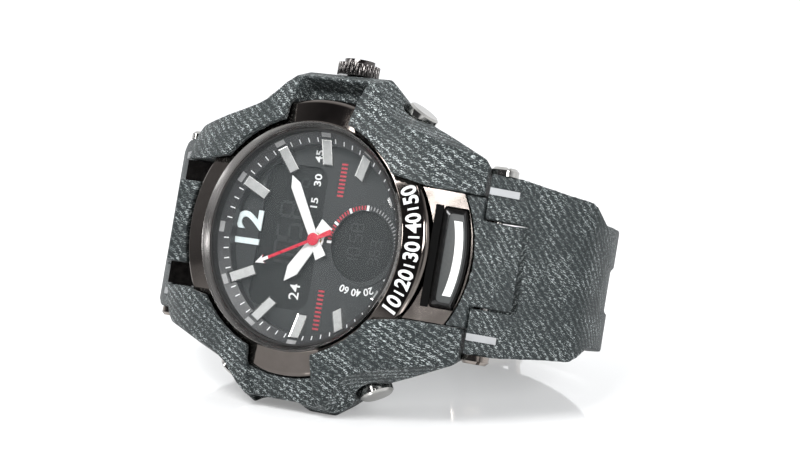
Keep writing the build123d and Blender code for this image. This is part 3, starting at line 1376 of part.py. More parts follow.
def make_strap_6():
    body = mirrored_y(strap_arm())
    body += loop_band(-90, TAIL_ANGLE, -STRAP_THICKNESS, 0, lap, STRAP_LUG_HALF_WIDTH)
    body = body & strap_sides()
    body = body - mirrored_y(strap_lug_cuts() + upper_inserts())
    tail = TAIL_ANGLE + CHANNEL_DEPTH
    body -= loop_band(CHANNEL_START_ANGLE, tail, -CHANNEL_DEPTH, OVERRUN, lap, CHANNEL_HALF_WIDTH)
    for angle in hole_angles():
        if not tongue_hole_start() < angle < tongue_hole_end():
            body -= strap_hole(angle)
    return body - tongue_room()


# Buckle and keeper

def cross_centre():
    """The middle of the buckle frame's cross bar"""
    return (0, BUCKLE_CROSS_Y, BUCKLE_FOOT_Z + BUCKLE_CROSS_RADIUS)


def tongue_profile(grow, drop):
    """The tongue's arm from the bar to its tip, grown by a gap and let down at its tip"""
    bar_y, bar_z = BUCKLE_BAR[1], BUCKLE_BAR[2]
    rest_z = BUCKLE_FOOT_Z - TONGUE_REST_GAP
    slope = (rest_z - bar_z) / (bar_y - BUCKLE_CROSS_Y)
    tip_z = bar_z + slope * (bar_y - TONGUE_TIP_Y)
    return [
        (bar_y, bar_z + grow),
        (TONGUE_TIP_Y, tip_z + grow),
        (TONGUE_TIP_Y, tip_z - TONGUE_THICKNESS - grow - drop),
        (bar_y, bar_z - TONGUE_THICKNESS - grow),
    ]


def tongue_room():
    """The slot that the tongue needs in the long half"""
    return prism_x(tongue_profile(TONGUE_SLOT_GAP, TONGUE_SLOT_WEDGE), TONGUE_WIDTH / 2 + TONGUE_SLOT_GAP)


def tongue_hole_start():
    return LAP_START_ANGLE - HOLE_PITCH_ANGLE / 2


def tongue_hole_end():
    return LAP_END_ANGLE + HOLE_PITCH_ANGLE / 2


def make_buckle_tongue():
    body = prism_x(tongue_profile(0, 0), TONGUE_WIDTH / 2)
    body += cross_rod(BUCKLE_BAR[1], BUCKLE_BAR[2], TONGUE_EYE_RADIUS, TONGUE_WIDTH / 2)
    return body - cross_rod(BUCKLE_BAR[1], BUCKLE_BAR[2], BUCKLE_BAR_RADIUS + RUNNING_GAP, TONGUE_WIDTH)


def make_buckle_frame():
    profile = [
        (BUCKLE_FRONT_Y, BUCKLE_FOOT_Z),
        (BUCKLE_HEEL_Y, BUCKLE_FOOT_Z),
        (BUCKLE_BACK_Y, BUCKLE_BAR[2] - STRAP_THICKNESS / 2),
        (BUCKLE_BACK_Y, BUCKLE_SIDE_TOP),
        (BUCKLE_HEEL_Y, BUCKLE_SIDE_TOP),
        (BUCKLE_FRONT_Y, BUCKLE_FRONT_TOP),
    ]
    body = prism_x(profile, BUCKLE_HALF_WIDTH) - prism_x(profile, BUCKLE_HALF_WIDTH - BUCKLE_SIDE)
    cross = cross_centre()
    body += cross_rod(cross[1], cross[2], BUCKLE_CROSS_RADIUS, BUCKLE_HALF_WIDTH - BUCKLE_SIDE)
    return body - cross_rod(BUCKLE_BAR[1], BUCKLE_BAR[2], BUCKLE_BAR_RADIUS + RUNNING_GAP, BUCKLE_HALF_WIDTH)


def make_buckle_bar():
    return cross_rod(BUCKLE_BAR[1], BUCKLE_BAR[2], BUCKLE_BAR_RADIUS, BUCKLE_HALF_WIDTH - FIT_GAP)


def make_keeper():
    inner = -STRAP_THICKNESS - KEEPER_GAP
    outer = lap(KEEPER_START_ANGLE) + KEEPER_GAP
    half_width = STRAP_HALF_WIDTH + KEEPER_GAP
    low = inner - KEEPER_WALL
    high = outer + KEEPER_WALL
    body = loop_band(KEEPER_START_ANGLE, KEEPER_END_ANGLE, low, high, no_lap, half_width + KEEPER_WALL)
    start = KEEPER_START_ANGLE - HOLE_OVERRUN_ANGLE
    end = KEEPER_END_ANGLE + HOLE_OVERRUN_ANGLE
    return body - loop_band(start, end, inner, outer, no_lap, half_width)


# Lug pins

def lug_head(sign):
    """A domed and slotted head against one side of the strap at 12 o'clock"""
    face = (sign * (STRAP_LUG_HALF_WIDTH + FIT_GAP), LUG_PIN_Y, LUG_PIN_Z)
    rim = Cylinder(LUG_HEAD_RADIUS, LUG_HEAD_HEIGHT - LUG_HEAD_CROWN, align=ON_BASE)
    crown = Cone(LUG_HEAD_RADIUS, LUG_HEAD_RADIUS - LUG_HEAD_CROWN, LUG_HEAD_CROWN, align=ON_BASE)
    head = rim + Pos(0, 0, LUG_HEAD_HEIGHT - LUG_HEAD_CROWN) * crown
    slot = Box(2 * LUG_HEAD_RADIUS, LUG_SLOT_WIDTH, 2 * LUG_SLOT_DEPTH)
    head = head - Pos(0, 0, LUG_HEAD_HEIGHT) * slot
    return Plane(origin=face, x_dir=(0, 1, 1), z_dir=(sign, 0, 0)) * head


def make_lug_pins():
    face = STRAP_LUG_HALF_WIDTH + FIT_GAP
    pin = cross_rod(LUG_PIN_Y, LUG_PIN_Z, LUG_PIN_RADIUS, face) + lug_head(1)
    pin -= rod((-face, LUG_PIN_Y, LUG_PIN_Z), (1, 0, 0), LUG_SCREW_RADIUS, LUG_SCREW_LENGTH)
    return pin + mirrored_y(pin)


def make_lug_screws():
    face = STRAP_LUG_HALF_WIDTH + FIT_GAP
    screw = lug_head(-1) + rod((-face, LUG_PIN_Y, LUG_PIN_Z), (1, 0, 0), LUG_SCREW_RADIUS, LUG_SCREW_LENGTH)
    return screw + mirrored_y(screw)


# The pieces, in the watch's own axes
PIECES = {
    "case_body": make_case_body,
    "case_back": make_case_back,
    "case_back_gasket": make_case_back_gasket,
    "case_back_screws": make_case_back_screws,
    "bezel_ring": make_bezel_ring,
    "crystal": make_crystal,
    "crystal_gasket": make_crystal_gasket,
    "chapter_ring": make_chapter_ring,
    "dial": make_dial,
    "hour_markers": make_hour_markers,
    "subdial_ring": make_subdial_ring,
    "lcd_panel": make_lcd_panel,
    "subdial_lcd": make_subdial_lcd,
    "hour_hand": make_hour_hand,
    "minute_hand": make_minute_hand,
    "seconds_hand": make_seconds_hand,
    "hour_wheel": make_hour_wheel,
    "cannon_pinion": make_cannon_pinion,
    "minute_wheel": make_minute_wheel,
    "seconds_arbor": make_seconds_arbor,
    "module_frame": make_module_frame,
    "train_bridge": make_train_bridge,
    "circuit_board": make_circuit_board,
    "board_screws": make_board_screws,
    "stepping_motors": make_motors,
    "battery": make_battery,
    "battery_clamp": make_battery_clamp,
    "buzzer": make_buzzer,
    "module_spacer": make_module_spacer,
    "crown": make_crown,
    "stem": make_stem,
    "setting_collar": make_setting_collar,
    "crown_tube": make_crown_tube,
    "crown_gasket": make_crown_gasket,
    "pusher_tubes": make_pusher_tubes,
    "guard_3": make_guard_3,
    "guard_9": make_guard_9,
    "side_feet": make_side_feet,
    "front_panel": make_front_panel,
    "light_button": make_light_button,
    "light_bar": make_light_bar,
    "end_link_12": make_end_link_12,
    "end_link_6": make_end_link_6,
    "strap_12": make_strap_12,
    "strap_6": make_strap_6,
    "strap_inserts": make_strap_inserts,
    "lug_pins": make_lug_pins,
    "lug_screws": make_lug_screws,
    "buckle_frame": make_buckle_frame,
    "buckle_bar": make_buckle_bar,
    "buckle_tongue": make_buckle_tongue,
    "keeper": make_keeper,
}

shapes = {name: make() for name, make in PIECES.items()}
for hour in PUSHER_HOURS:
    shapes[f"pusher_{hour}"] = make_pusher(hour)
    shapes[f"pusher_clip_{hour}"] = make_pusher_clip(hour)

# The watch leans on its 9 o'clock side, with 6 o'clock along +X and the dial towards -Y
towards_3 = (0, math.sin(LEAN), math.cos(LEAN))
out_of_dial = (0, -math.cos(LEAN), math.sin(LEAN))
leaning = Plane(origin=(0, 0, 0), x_dir=towards_3, z_dir=out_of_dial)
leant = {name: leaning.location * shape for name, shape in shapes.items()}
limits = Compound(list(leant.values())).bounding_box()
middle = (limits.min + limits.max) / 2
to_floor = Pos(-middle.X, -middle.Y, -limits.min.Z)

os.makedirs("parts", exist_ok=True)
for name, shape in leant.items():
    export_step(to_floor * shape, f"parts/{name}.step")
print("pieces", len(leant))
print("lean in degrees", round(math.degrees(LEAN), 3))
print("dial centre over the floor's origin", to_floor.position)
print("overall size", limits.size)
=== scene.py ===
import bpy
import bmesh
import math
import numpy as np
from mathutils import Matrix, Vector


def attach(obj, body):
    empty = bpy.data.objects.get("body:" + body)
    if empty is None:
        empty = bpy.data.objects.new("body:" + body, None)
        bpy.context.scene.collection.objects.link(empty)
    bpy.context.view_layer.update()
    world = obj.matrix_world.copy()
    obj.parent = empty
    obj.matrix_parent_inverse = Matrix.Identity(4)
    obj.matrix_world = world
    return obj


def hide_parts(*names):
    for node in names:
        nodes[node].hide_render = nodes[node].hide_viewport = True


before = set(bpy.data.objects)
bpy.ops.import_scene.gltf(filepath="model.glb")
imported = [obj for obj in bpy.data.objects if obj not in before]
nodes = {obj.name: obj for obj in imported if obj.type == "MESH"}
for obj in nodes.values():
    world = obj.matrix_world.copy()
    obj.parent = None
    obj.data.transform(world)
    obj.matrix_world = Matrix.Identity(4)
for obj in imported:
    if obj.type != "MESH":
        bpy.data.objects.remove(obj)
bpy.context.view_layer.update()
scene = bpy.context.scene
scene.view_settings.view_transform = "Standard"


# The camera stands where the photographer stood: to the left of the dial and a little above it,
# with a long lens. The dial's centre and the way the watch leans are the watch's own axes,
# x to 3 o'clock, y to 12 o'clock and z out of the dial, and most pieces below are drawn in them.
MM = 0.001
LEAN = 0.275087
DIAL_CENTRE = Vector((0, -0.0256303, 0.0269875))
sin_lean, cos_lean = math.sin(LEAN), math.cos(LEAN)
WATCH = Matrix((
    (0, -MM, 0, DIAL_CENTRE.x),
    (sin_lean * MM, 0, -cos_lean * MM, DIAL_CENTRE.y),
    (cos_lean * MM, 0, sin_lean * MM, DIAL_CENTRE.z),
    (0, 0, 0, 1),
))
WATCH_TURN = WATCH.to_3x3().normalized()
WATCH_X = Vector((0, sin_lean, cos_lean))
WATCH_Z = Vector((0, -cos_lean, sin_lean))
CAMERA_PLACE = Vector((-18.9, -217.2, 346.0))
CAMERA_RIGHT = Vector((0.1644, -0.857, -0.4882))
CAMERA_BACK = Vector((-0.057, -0.502, 0.863))

lens = bpy.data.cameras.new("camera")
lens.lens = 117
lens.sensor_width = 36
lens.clip_start = 0.01
camera = bpy.data.objects.new("camera", lens)
scene.collection.objects.link(camera)
camera_back = (WATCH_TURN @ CAMERA_BACK).normalized()
camera_up = camera_back.cross(WATCH_TURN @ CAMERA_RIGHT).normalized()
camera_right = camera_up.cross(camera_back).normalized()
axes = Matrix((camera_right, camera_up, camera_back)).transposed()
camera.matrix_world = Matrix.Translation(WATCH @ CAMERA_PLACE) @ axes.to_4x4()
scene.camera = camera


# The table is a glossy white sheet before a white backdrop, and the room behind the camera is
# dark. A large soft box hangs in front and above. The others stand where the front panel, the
# flange, the lip and the left guard mirror them, and a dim card lies low on the right.
FLOOR_WHITE = (0.86, 0.865, 0.87, 1)
FLOOR_HALF = 3.0
FLOOR_ROUGHNESS = 0.06
FLOOR_IOR = 2.0
FLOOR_GLOW = 0.26
DARK_SIDE = (0.3, (0.05, 0.05, 0.053, 1))
WHITE_SIDE = (0.62, (0.95, 0.96, 0.97, 1))


def new_material(name):
    """A material with its node tree and its shader"""
    material = bpy.data.materials.new(name)
    material.use_nodes = True
    tree = material.node_tree
    return material, tree, tree.nodes["Principled BSDF"]


def flat_mesh(name, points, faces):
    """A piece made of points and faces"""
    mesh = bpy.data.meshes.new(name)
    mesh.from_pydata([tuple(p) for p in points], [], faces)
    piece = bpy.data.objects.new(name, mesh)
    scene.collection.objects.link(piece)
    return piece


corners = [(-FLOOR_HALF, -FLOOR_HALF, 0), (FLOOR_HALF, -FLOOR_HALF, 0), (FLOOR_HALF, FLOOR_HALF, 0),
           (-FLOOR_HALF, FLOOR_HALF, 0)]
table_top = flat_mesh("table_top", corners, [(0, 1, 2, 3)])
white_sheet, tree, shader = new_material("white_sheet")
shader.inputs["Base Color"].default_value = FLOOR_WHITE
shader.inputs["Roughness"].default_value = FLOOR_ROUGHNESS
shader.inputs["IOR"].default_value = FLOOR_IOR
path = tree.nodes.new("ShaderNodeLightPath")
lift = tree.nodes.new("ShaderNodeMath")
lift.operation = "MULTIPLY"
lift.inputs[1].default_value = FLOOR_GLOW
tree.links.new(path.outputs["Is Camera Ray"], lift.inputs[0])
shader.inputs["Emission Color"].default_value = (1, 1, 1, 1)
tree.links.new(lift.outputs[0], shader.inputs["Emission Strength"])
table_top.data.materials.append(white_sheet)

world = bpy.data.worlds.new("tent")
scene.world = world
world.use_nodes = True
tree = world.node_tree
background = tree.nodes["Background"]
where = tree.nodes.new("ShaderNodeTexCoord")
split = tree.nodes.new("ShaderNodeSeparateXYZ")
tree.links.new(where.outputs["Generated"], split.inputs[0])
side = tree.nodes.new("ShaderNodeValToRGB")
for element, (position, colour) in zip(side.color_ramp.elements, (DARK_SIDE, WHITE_SIDE)):
    element.position = position
    element.color = colour
turn = tree.nodes.new("ShaderNodeMapRange")
turn.inputs["From Min"].default_value = -1
tree.links.new(split.outputs["Y"], turn.inputs["Value"])
tree.links.new(turn.outputs["Result"], side.inputs["Fac"])
path = tree.nodes.new("ShaderNodeLightPath")
seen = tree.nodes.new("ShaderNodeMix")
seen.data_type = "RGBA"
tree.links.new(path.outputs["Is Camera Ray"], seen.inputs["Factor"])
tree.links.new(side.outputs["Color"], seen.inputs["A"])
seen.inputs["B"].default_value = (1, 1, 1, 1)
tree.links.new(seen.outputs["Result"], background.inputs["Color"])


def soft_box(name, place, size, power):
    """A lit rectangle that looks at the dial, its place and size in metres"""
    light = bpy.data.lights.new(name, "AREA")
    light.shape = "RECTANGLE"
    light.size, light.size_y = size
    light.energy = power
    lamp = bpy.data.objects.new(name, light)
    lamp.location = place
    lamp.rotation_euler = (DIAL_CENTRE - Vector(place)).to_track_quat("-Z", "Y").to_euler()
    scene.collection.objects.link(lamp)


soft_box("front_box", (-0.05, -0.62, 0.75), size=(0.6, 0.3), power=9)
soft_box("right_box", (0.78, -0.62, 0.425), size=(0.3, 0.25), power=5)
soft_box("right_card", (0.9, -0.78, 0.11), size=(0.5, 0.3), power=0.26)
soft_box("flange_strip", (-0.105, -0.9, 0.487), size=(0.3, 0.08), power=0.5)
soft_box("lip_box", (0.94, -0.106, 0.337), size=(0.15, 0.2), power=0.8)
soft_box("left_box", (-0.85, -0.4, 0.4), size=(0.12, 0.4), power=1.6)


# The case body, the case back and everything inside are machined and pressed metal, moulded
# plastic and rubber. They keep the solids of the frame and get finishes here.
BUMP_STRENGTH = 0.6
NOISE_LOW, NOISE_HIGH = 0.3, 0.7
METAL_SMOOTHER, METAL_ROUGHER = 0.75, 1.3
PLASTIC_SMOOTHER, PLASTIC_ROUGHER = 0.85, 1.15


def noise_bump(tree, shader, scale, distance, detail=3, stretch=None):
    """A fine relief of a surface, in metres"""
    where = tree.nodes.new("ShaderNodeTexCoord")
    noise = tree.nodes.new("ShaderNodeTexNoise")
    noise.inputs["Scale"].default_value = scale
    noise.inputs["Detail"].default_value = detail
    source = where.outputs["Object"]
    if stretch:
        turn = tree.nodes.new("ShaderNodeMapping")
        turn.inputs["Scale"].default_value = stretch
        tree.links.new(source, turn.inputs["Vector"])
        source = turn.outputs["Vector"]
    tree.links.new(source, noise.inputs["Vector"])
    bump = tree.nodes.new("ShaderNodeBump")
    bump.inputs["Distance"].default_value = distance
    bump.inputs["Strength"].default_value = BUMP_STRENGTH
    tree.links.new(noise.outputs["Fac"], bump.inputs["Height"])
    tree.links.new(bump.outputs["Normal"], shader.inputs["Normal"])
    return noise


def between(tree, noise, low, high):
    """A value that follows a noise between two limits"""
    scale = tree.nodes.new("ShaderNodeMapRange")
    scale.inputs["From Min"].default_value = NOISE_LOW
    scale.inputs["From Max"].default_value = NOISE_HIGH
    scale.inputs["To Min"].default_value = low
    scale.inputs["To Max"].default_value = high
    tree.links.new(noise.outputs["Fac"], scale.inputs["Value"])
    return scale.outputs["Result"]


def tinted(tree, shader, noise, dark, light):
    """The base colour, between two close tones"""
    mix = tree.nodes.new("ShaderNodeMix")
    mix.data_type = "RGBA"
    mix.inputs["A"].default_value = (*dark, 1)
    mix.inputs["B"].default_value = (*light, 1)
    tree.links.new(between(tree, noise, 0, 1), mix.inputs["Factor"])
    tree.links.new(mix.outputs["Result"], shader.inputs["Base Color"])


def metal(name, dark, light, rough, grain=900, relief=0.000004, stretch=None):
    """A bare or plated metal; grain is how fine its noise is, relief how deep in metres"""
    material, tree, shader = new_material(name)
    shader.inputs["Metallic"].default_value = 1
    noise = noise_bump(tree, shader, grain, relief, detail=4, stretch=stretch)
    tinted(tree, shader, noise, dark, light)
    spread = between(tree, noise, rough * METAL_SMOOTHER, rough * METAL_ROUGHER)
    tree.links.new(spread, shader.inputs["Roughness"])
    return material


def plastic(name, dark, light, rough, grain=1400, relief=0.00001):
    """A moulding, a lacquer or a print, as metal() takes its values"""
    material, tree, shader = new_material(name)
    noise = noise_bump(tree, shader, grain, relief)
    tinted(tree, shader, noise, dark, light)
    spread = between(tree, noise, rough * PLASTIC_SMOOTHER, rough * PLASTIC_ROUGHER)
    tree.links.new(spread, shader.inputs["Roughness"])
    return material


gunmetal = metal("gunmetal", (0.3, 0.265, 0.24), (0.36, 0.32, 0.29), 0.1, grain=600, relief=0.000001)
dark_metal = metal("dark_metal", (0.05, 0.046, 0.044), (0.075, 0.07, 0.066), 0.2)
steel = metal("brushed_steel", (0.5, 0.5, 0.49), (0.62, 0.62, 0.61), 0.28, grain=700, relief=0.000006,
              stretch=(1, 6, 1))
bright_silver = metal("bright_silver", (0.7, 0.7, 0.68), (0.82, 0.82, 0.8), 0.14)
brass = metal("train_brass", (0.62, 0.47, 0.2), (0.74, 0.58, 0.28), 0.25)
copper = metal("motor_winding", (0.5, 0.22, 0.1), (0.66, 0.32, 0.16), 0.35, grain=2600, relief=0.00003,
               stretch=(1, 1, 9))
black_plastic = plastic("black_plastic", (0.012, 0.012, 0.013), (0.022, 0.022, 0.024), 0.38)
white_plastic = plastic("white_plastic", (0.62, 0.62, 0.59), (0.7, 0.7, 0.67), 0.45)
seal_rubber = plastic("seal_rubber", (0.012, 0.012, 0.012), (0.02, 0.02, 0.02), 0.7)
board_green = plastic("board_green", (0.01, 0.09, 0.035), (0.02, 0.13, 0.05), 0.3)


def finish(node, material):
    """Gives a solid of the frame its material"""
    mesh = nodes[node].data
    mesh.materials.clear()
    mesh.materials.append(material)


INSIDE = {
    steel: ("case_back", "case_back_screws", "cannon_pinion", "seconds_arbor", "board_screws",
            "battery_clamp", "stem", "setting_collar", "crown_tube", "pusher_tubes", "pusher_clip_2",
            "pusher_clip_4", "pusher_clip_8", "pusher_clip_10", "buckle_bar"),
    brass: ("hour_wheel", "minute_wheel", "buzzer"),
    bright_silver: ("battery",),
    copper: ("stepping_motors",),
    white_plastic: ("train_bridge",),
    black_plastic: ("module_frame", "module_spacer", "side_feet", "chapter_ring"),
    seal_rubber: ("case_back_gasket", "crystal_gasket", "crown_gasket"),
    board_green: ("circuit_board",),
    gunmetal: ("buckle_frame", "buckle_tongue", "lug_screws"),
    dark_metal: ("case_body",),
}
for material, names in INSIDE.items():
    for name in names:
        finish(name, material)


# The dial is a matt charcoal plate over two dark display windows. The windows are black glass
# with faint grey segments, and the dial has a very fine grain.
dial_coat, tree, shader = new_material("dial_coat")
noise = noise_bump(tree, shader, scale=3000, distance=0.000006)
tinted(tree, shader, noise, (0.018, 0.02, 0.021), (0.027, 0.03, 0.031))
shader.inputs["Roughness"].default_value = 0.55
finish("dial", dial_coat)
finish("subdial_ring", dial_coat)

display_glass, tree, shader = new_material("display_glass")
shader.inputs["Base Color"].default_value = (0.014, 0.016, 0.016, 1)
shader.inputs["Roughness"].default_value = 0.5
shader.inputs["Specular IOR Level"].default_value = 0.3
finish("lcd_panel", display_glass)
finish("subdial_lcd", display_glass)

print_white = plastic("print_white", (0.78, 0.79, 0.79), (0.84, 0.85, 0.85), 0.5)
print_red = plastic("print_red", (0.42, 0.03, 0.05), (0.5, 0.045, 0.065), 0.5)
print_grey = plastic("print_grey", (0.27, 0.27, 0.27), (0.33, 0.33, 0.33), 0.5)
print_faint = plastic("print_faint", (0.022, 0.024, 0.025), (0.028, 0.03, 0.031), 0.4)

DIAL_TOP = -2.3
PRINT_HEIGHT = 0.03


def in_watch(piece):
    """Takes a piece drawn in the watch's own axes, in mm, to the frame"""
    piece.data.transform(WATCH)
    piece.data.update()
    return piece


def plates(name, outlines, bottom, top, material, body="watch", place=None):
    """Thin marks as one mesh, from outlines of (x, y) points; place turns them into the watch's axes"""
    points, faces = [], []
    for outline in outlines:
        start = len(points)
        count = len(outline)
        points += [(x, y, bottom) for x, y in outline]
        points += [(x, y, top) for x, y in outline]
        faces.append([start + index for index in range(count)][::-1])
        faces.append([start + count + index for index in range(count)])
        for index in range(count):
            following = (index + 1) % count
            faces.append((start + index, start + following, start + count + following, start + count + index))
    if place:
        points = [place(*point) for point in points]
    piece = flat_mesh(name, points, faces)
    edit = bmesh.new()
    edit.from_mesh(piece.data)
    bmesh.ops.recalc_face_normals(edit, faces=edit.faces)
    edit.to_mesh(piece.data)
    edit.free()
    in_watch(piece)
    piece.data.materials.append(material)
    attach(piece, body)
    return piece


def bar(x, y, width, length, angle):
    """The outline of a bar centred at a point, its length turned clockwise from 12 o'clock"""
    turn = math.radians(angle)
    along = (math.sin(turn), math.cos(turn))
    across = (math.cos(turn), -math.sin(turn))
    corners = [(-1, -1), (1, -1), (1, 1), (-1, 1)]
    return [(x + across[0] * a * width / 2 + along[0] * b * length / 2,
             y + across[1] * a * width / 2 + along[1] * b * length / 2) for a, b in corners]


SUBDIAL_Y = -8.5


def subdial_bar(radius, angle, width, length):
    """A bar that points away from the subdial's centre, at an angle clockwise from 12 o'clock"""
    turn = math.radians(angle)
    return bar(radius * math.sin(turn), SUBDIAL_Y + radius * math.cos(turn), width, length, angle)


RING_TOP = DIAL_TOP + 0.12
THIN_PRINT = 0.02
RED_STEP = 5
FINE_STEP = 5.5
scale_white = [subdial_bar(6.05, angle, 0.42, 0.84) for angle in (0, 30, 60, 90)]
plates("subdial_white_ticks", scale_white, RING_TOP, RING_TOP + 2 * THIN_PRINT, print_white)
scale_fine = [subdial_bar(6.1, 90 + FINE_STEP * step, 0.2, 0.6) for step in range(1, 19)]
plates("subdial_fine_ticks", scale_fine, RING_TOP, RING_TOP + THIN_PRINT, print_grey)
scale_red = [subdial_bar(6.08, RED_STEP * step, 0.27, 0.64) for step in range(1, 18)]
plates("subdial_red_arc", scale_red, RING_TOP, RING_TOP + THIN_PRINT, print_red)

CAPITAL_SHARE = 0.73
LETTER_WELD = 0.001
LETTER_EDGE = 0.8
LETTER_CUTS = 2


def numerals(name, words, height, width_share, place, material, thick, bold):
    """Plain numbers as a mesh; place takes lettering centred on itself into the watch's axes"""
    curve = bpy.data.curves.new(name, "FONT")
    curve.body = words
    curve.align_x = "CENTER"
    curve.align_y = "CENTER"
    curve.size = height / CAPITAL_SHARE
    curve.offset = bold
    curve.extrude = thick / 2
    curve.resolution_u = 6
    draft = bpy.data.objects.new(name, curve)
    scene.collection.objects.link(draft)
    bpy.context.view_layer.update()
    mesh = bpy.data.meshes.new_from_object(draft.evaluated_get(bpy.context.evaluated_depsgraph_get()))
    bpy.data.objects.remove(draft)
    mesh.name = name
    edit = bmesh.new()
    edit.from_mesh(mesh)
    bmesh.ops.remove_doubles(edit, verts=edit.verts, dist=LETTER_WELD)
    bmesh.ops.triangulate(edit, faces=edit.faces)
    for _ in range(LETTER_CUTS):
        long_edges = [edge for edge in edit.edges if edge.calc_length() > LETTER_EDGE]
        bmesh.ops.subdivide_edges(edit, edges=long_edges, cuts=1)
    for vertex in edit.verts:
        vertex.co = Vector(place(vertex.co.x * width_share, vertex.co.y, vertex.co.z + thick / 2))
    bmesh.ops.recalc_face_normals(edit, faces=edit.faces)
    edit.to_mesh(mesh)
    edit.free()
    mesh.materials.clear()
    mesh.materials.append(material)
    piece = bpy.data.objects.new(name, mesh)
    scene.collection.objects.link(piece)
    in_watch(piece)
    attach(piece, "watch")
    return piece


def shifted(dx, dy, dz):
    """A place for flat lettering: the point of the watch's axes that its middle comes to"""
    return lambda x, y, z: (x + dx, y + dy, z + dz)


numeral_coat = plastic("numeral_coat", (0.68, 0.79, 0.8), (0.8, 0.87, 0.87), 0.45)
numerals("numeral_12", "12", height=4.8, width_share=1.06, place=shifted(0.1, 12.65, DIAL_TOP),
         material=numeral_coat, thick=0.25, bold=0.12)


# The dial's small white and red prints are plain numbers and ticks, and the displays show faint
# grey seven-segment numbers behind their glass.
def row_of_bars(left, right, y, width, height, count):
    """Upright bars side by side between two places"""
    pitch = (right - left) / (count - 1)
    return [bar(left + pitch * index, y, width, height, 0) for index in range(count)]


DISPLAY_TOP = DIAL_TOP - 0.5
numerals("dial_numbers_2", "45", height=1.3, width_share=1.15, place=shifted(13.3, 2.0, DIAL_TOP),
         material=print_white, thick=PRINT_HEIGHT, bold=0.03)
numerals("dial_numbers_3", "15   30", height=1.3, width_share=1.15, place=shifted(7.6, 1.8, DISPLAY_TOP),
         material=print_white, thick=PRINT_HEIGHT, bold=0.03)
numerals("dial_numbers_9", "24", height=1.9, width_share=1.0, place=shifted(-8.6, 2.7, DISPLAY_TOP),
         material=print_white, thick=PRINT_HEIGHT, bold=0.02)
RED_TICK = (0.3, 1.1)
red_rows = row_of_bars(7.4, 12.4, -2.95, *RED_TICK, 9) + row_of_bars(-13.9, -7.9, -2.5, *RED_TICK, 10)
plates("dial_red_ticks", red_rows, DIAL_TOP, DIAL_TOP + PRINT_HEIGHT, print_red)
outer_tick = subdial_bar(7.3, 224, 0.3, 1.1)
plates("subdial_outer_tick", [outer_tick], DIAL_TOP, DIAL_TOP + PRINT_HEIGHT, print_white)
SUBDIAL_TEXT_RADIUS = 7.25
SUBDIAL_TEXT_TURN = math.radians(268)


def round_subdial(x, y, z):
    """Wraps lettering round the subdial on its 9 o'clock side, its tops outwards"""
    turn = SUBDIAL_TEXT_TURN + x / SUBDIAL_TEXT_RADIUS
    radius = SUBDIAL_TEXT_RADIUS + y
    return (radius * math.sin(turn), SUBDIAL_Y + radius * math.cos(turn), z + DIAL_TOP)


numerals("subdial_numbers", "20 40 60", height=1.15, width_share=1.1, place=round_subdial,
         material=print_white, thick=PRINT_HEIGHT, bold=0.03)

SEGMENTS = {"0": "abcdef", "1": "bc", "3": "abcdg", "5": "acdfg", "6": "acdefg", "8": "abcdefg"}
DIGIT_PITCH = 1.55
STROKE_SHARE = 0.11
SEGMENT_SHARE = 0.42


def seven_segment(digits, x, y, height):
    """The lit bars of a row of seven-segment digits, from its lower left corner"""
    lit = []
    half = height / 4
    wide = height / 2
    places = {"a": (wide / 2, height, 90), "g": (wide / 2, height / 2, 90), "d": (wide / 2, 0, 90),
              "f": (0, height - half, 0), "b": (wide, height - half, 0),
              "e": (0, half, 0), "c": (wide, half, 0)}
    for index, digit in enumerate(digits):
        for segment in SEGMENTS[digit]:
            dx, dy, turn = places[segment]
            left = x + index * wide * DIGIT_PITCH
            lit.append(bar(left + dx, y + dy, height * STROKE_SHARE, height * SEGMENT_SHARE, turn))
    return lit


DISPLAY_FOOT = 3.4
shown = seven_segment("10", -6.3, DISPLAY_FOOT, 4.4) + seven_segment("58", -0.2, DISPLAY_FOOT, 4.4)
shown += seven_segment("36", 6.2, DISPLAY_FOOT, 2.6)
plates("display_digits", shown, DISPLAY_TOP, DISPLAY_TOP + THIN_PRINT, print_faint)
small = seven_segment("10", -3.2, SUBDIAL_Y + 0.6, 2.2) + seven_segment("58", 0.6, SUBDIAL_Y + 0.6, 2.2)
small += seven_segment("363", -2.6, SUBDIAL_Y - 3.0, 1.8)
plates("subdial_digits", small, DISPLAY_TOP, DISPLAY_TOP + THIN_PRINT, print_faint)


# The chapter ring is a black moulded slope round the dial. It carries sixty printed marks: a grey
# square for each hour and a fine tick for each minute between them.
RING_INNER = (15.2, -0.75)
RING_OUTER = (17.1, 0.35)
ring_slope = math.atan2(RING_OUTER[1] - RING_INNER[1], RING_OUTER[0] - RING_INNER[0])


def mark_on_slope(name, start, end, width, lift):
    """One mark on the chapter ring's slope at 12 o'clock, between two radii"""
    points = []
    for radius in (start, end):
        height = RING_INNER[1] + (radius - RING_INNER[0]) * math.tan(ring_slope)
        for x in (-width / 2, width / 2):
            points.append((x, radius, height - lift))
            points.append((x, radius, height + lift))
    sides = [(0, 1, 3, 2), (4, 6, 7, 5), (0, 4, 5, 1), (2, 3, 7, 6), (1, 5, 7, 3), (0, 2, 6, 4)]
    mark = flat_mesh(name, points, sides)
    edit = bmesh.new()
    edit.from_mesh(mark.data)
    bmesh.ops.recalc_face_normals(edit, faces=edit.faces)
    edit.to_mesh(mark.data)
    edit.free()
    return mark


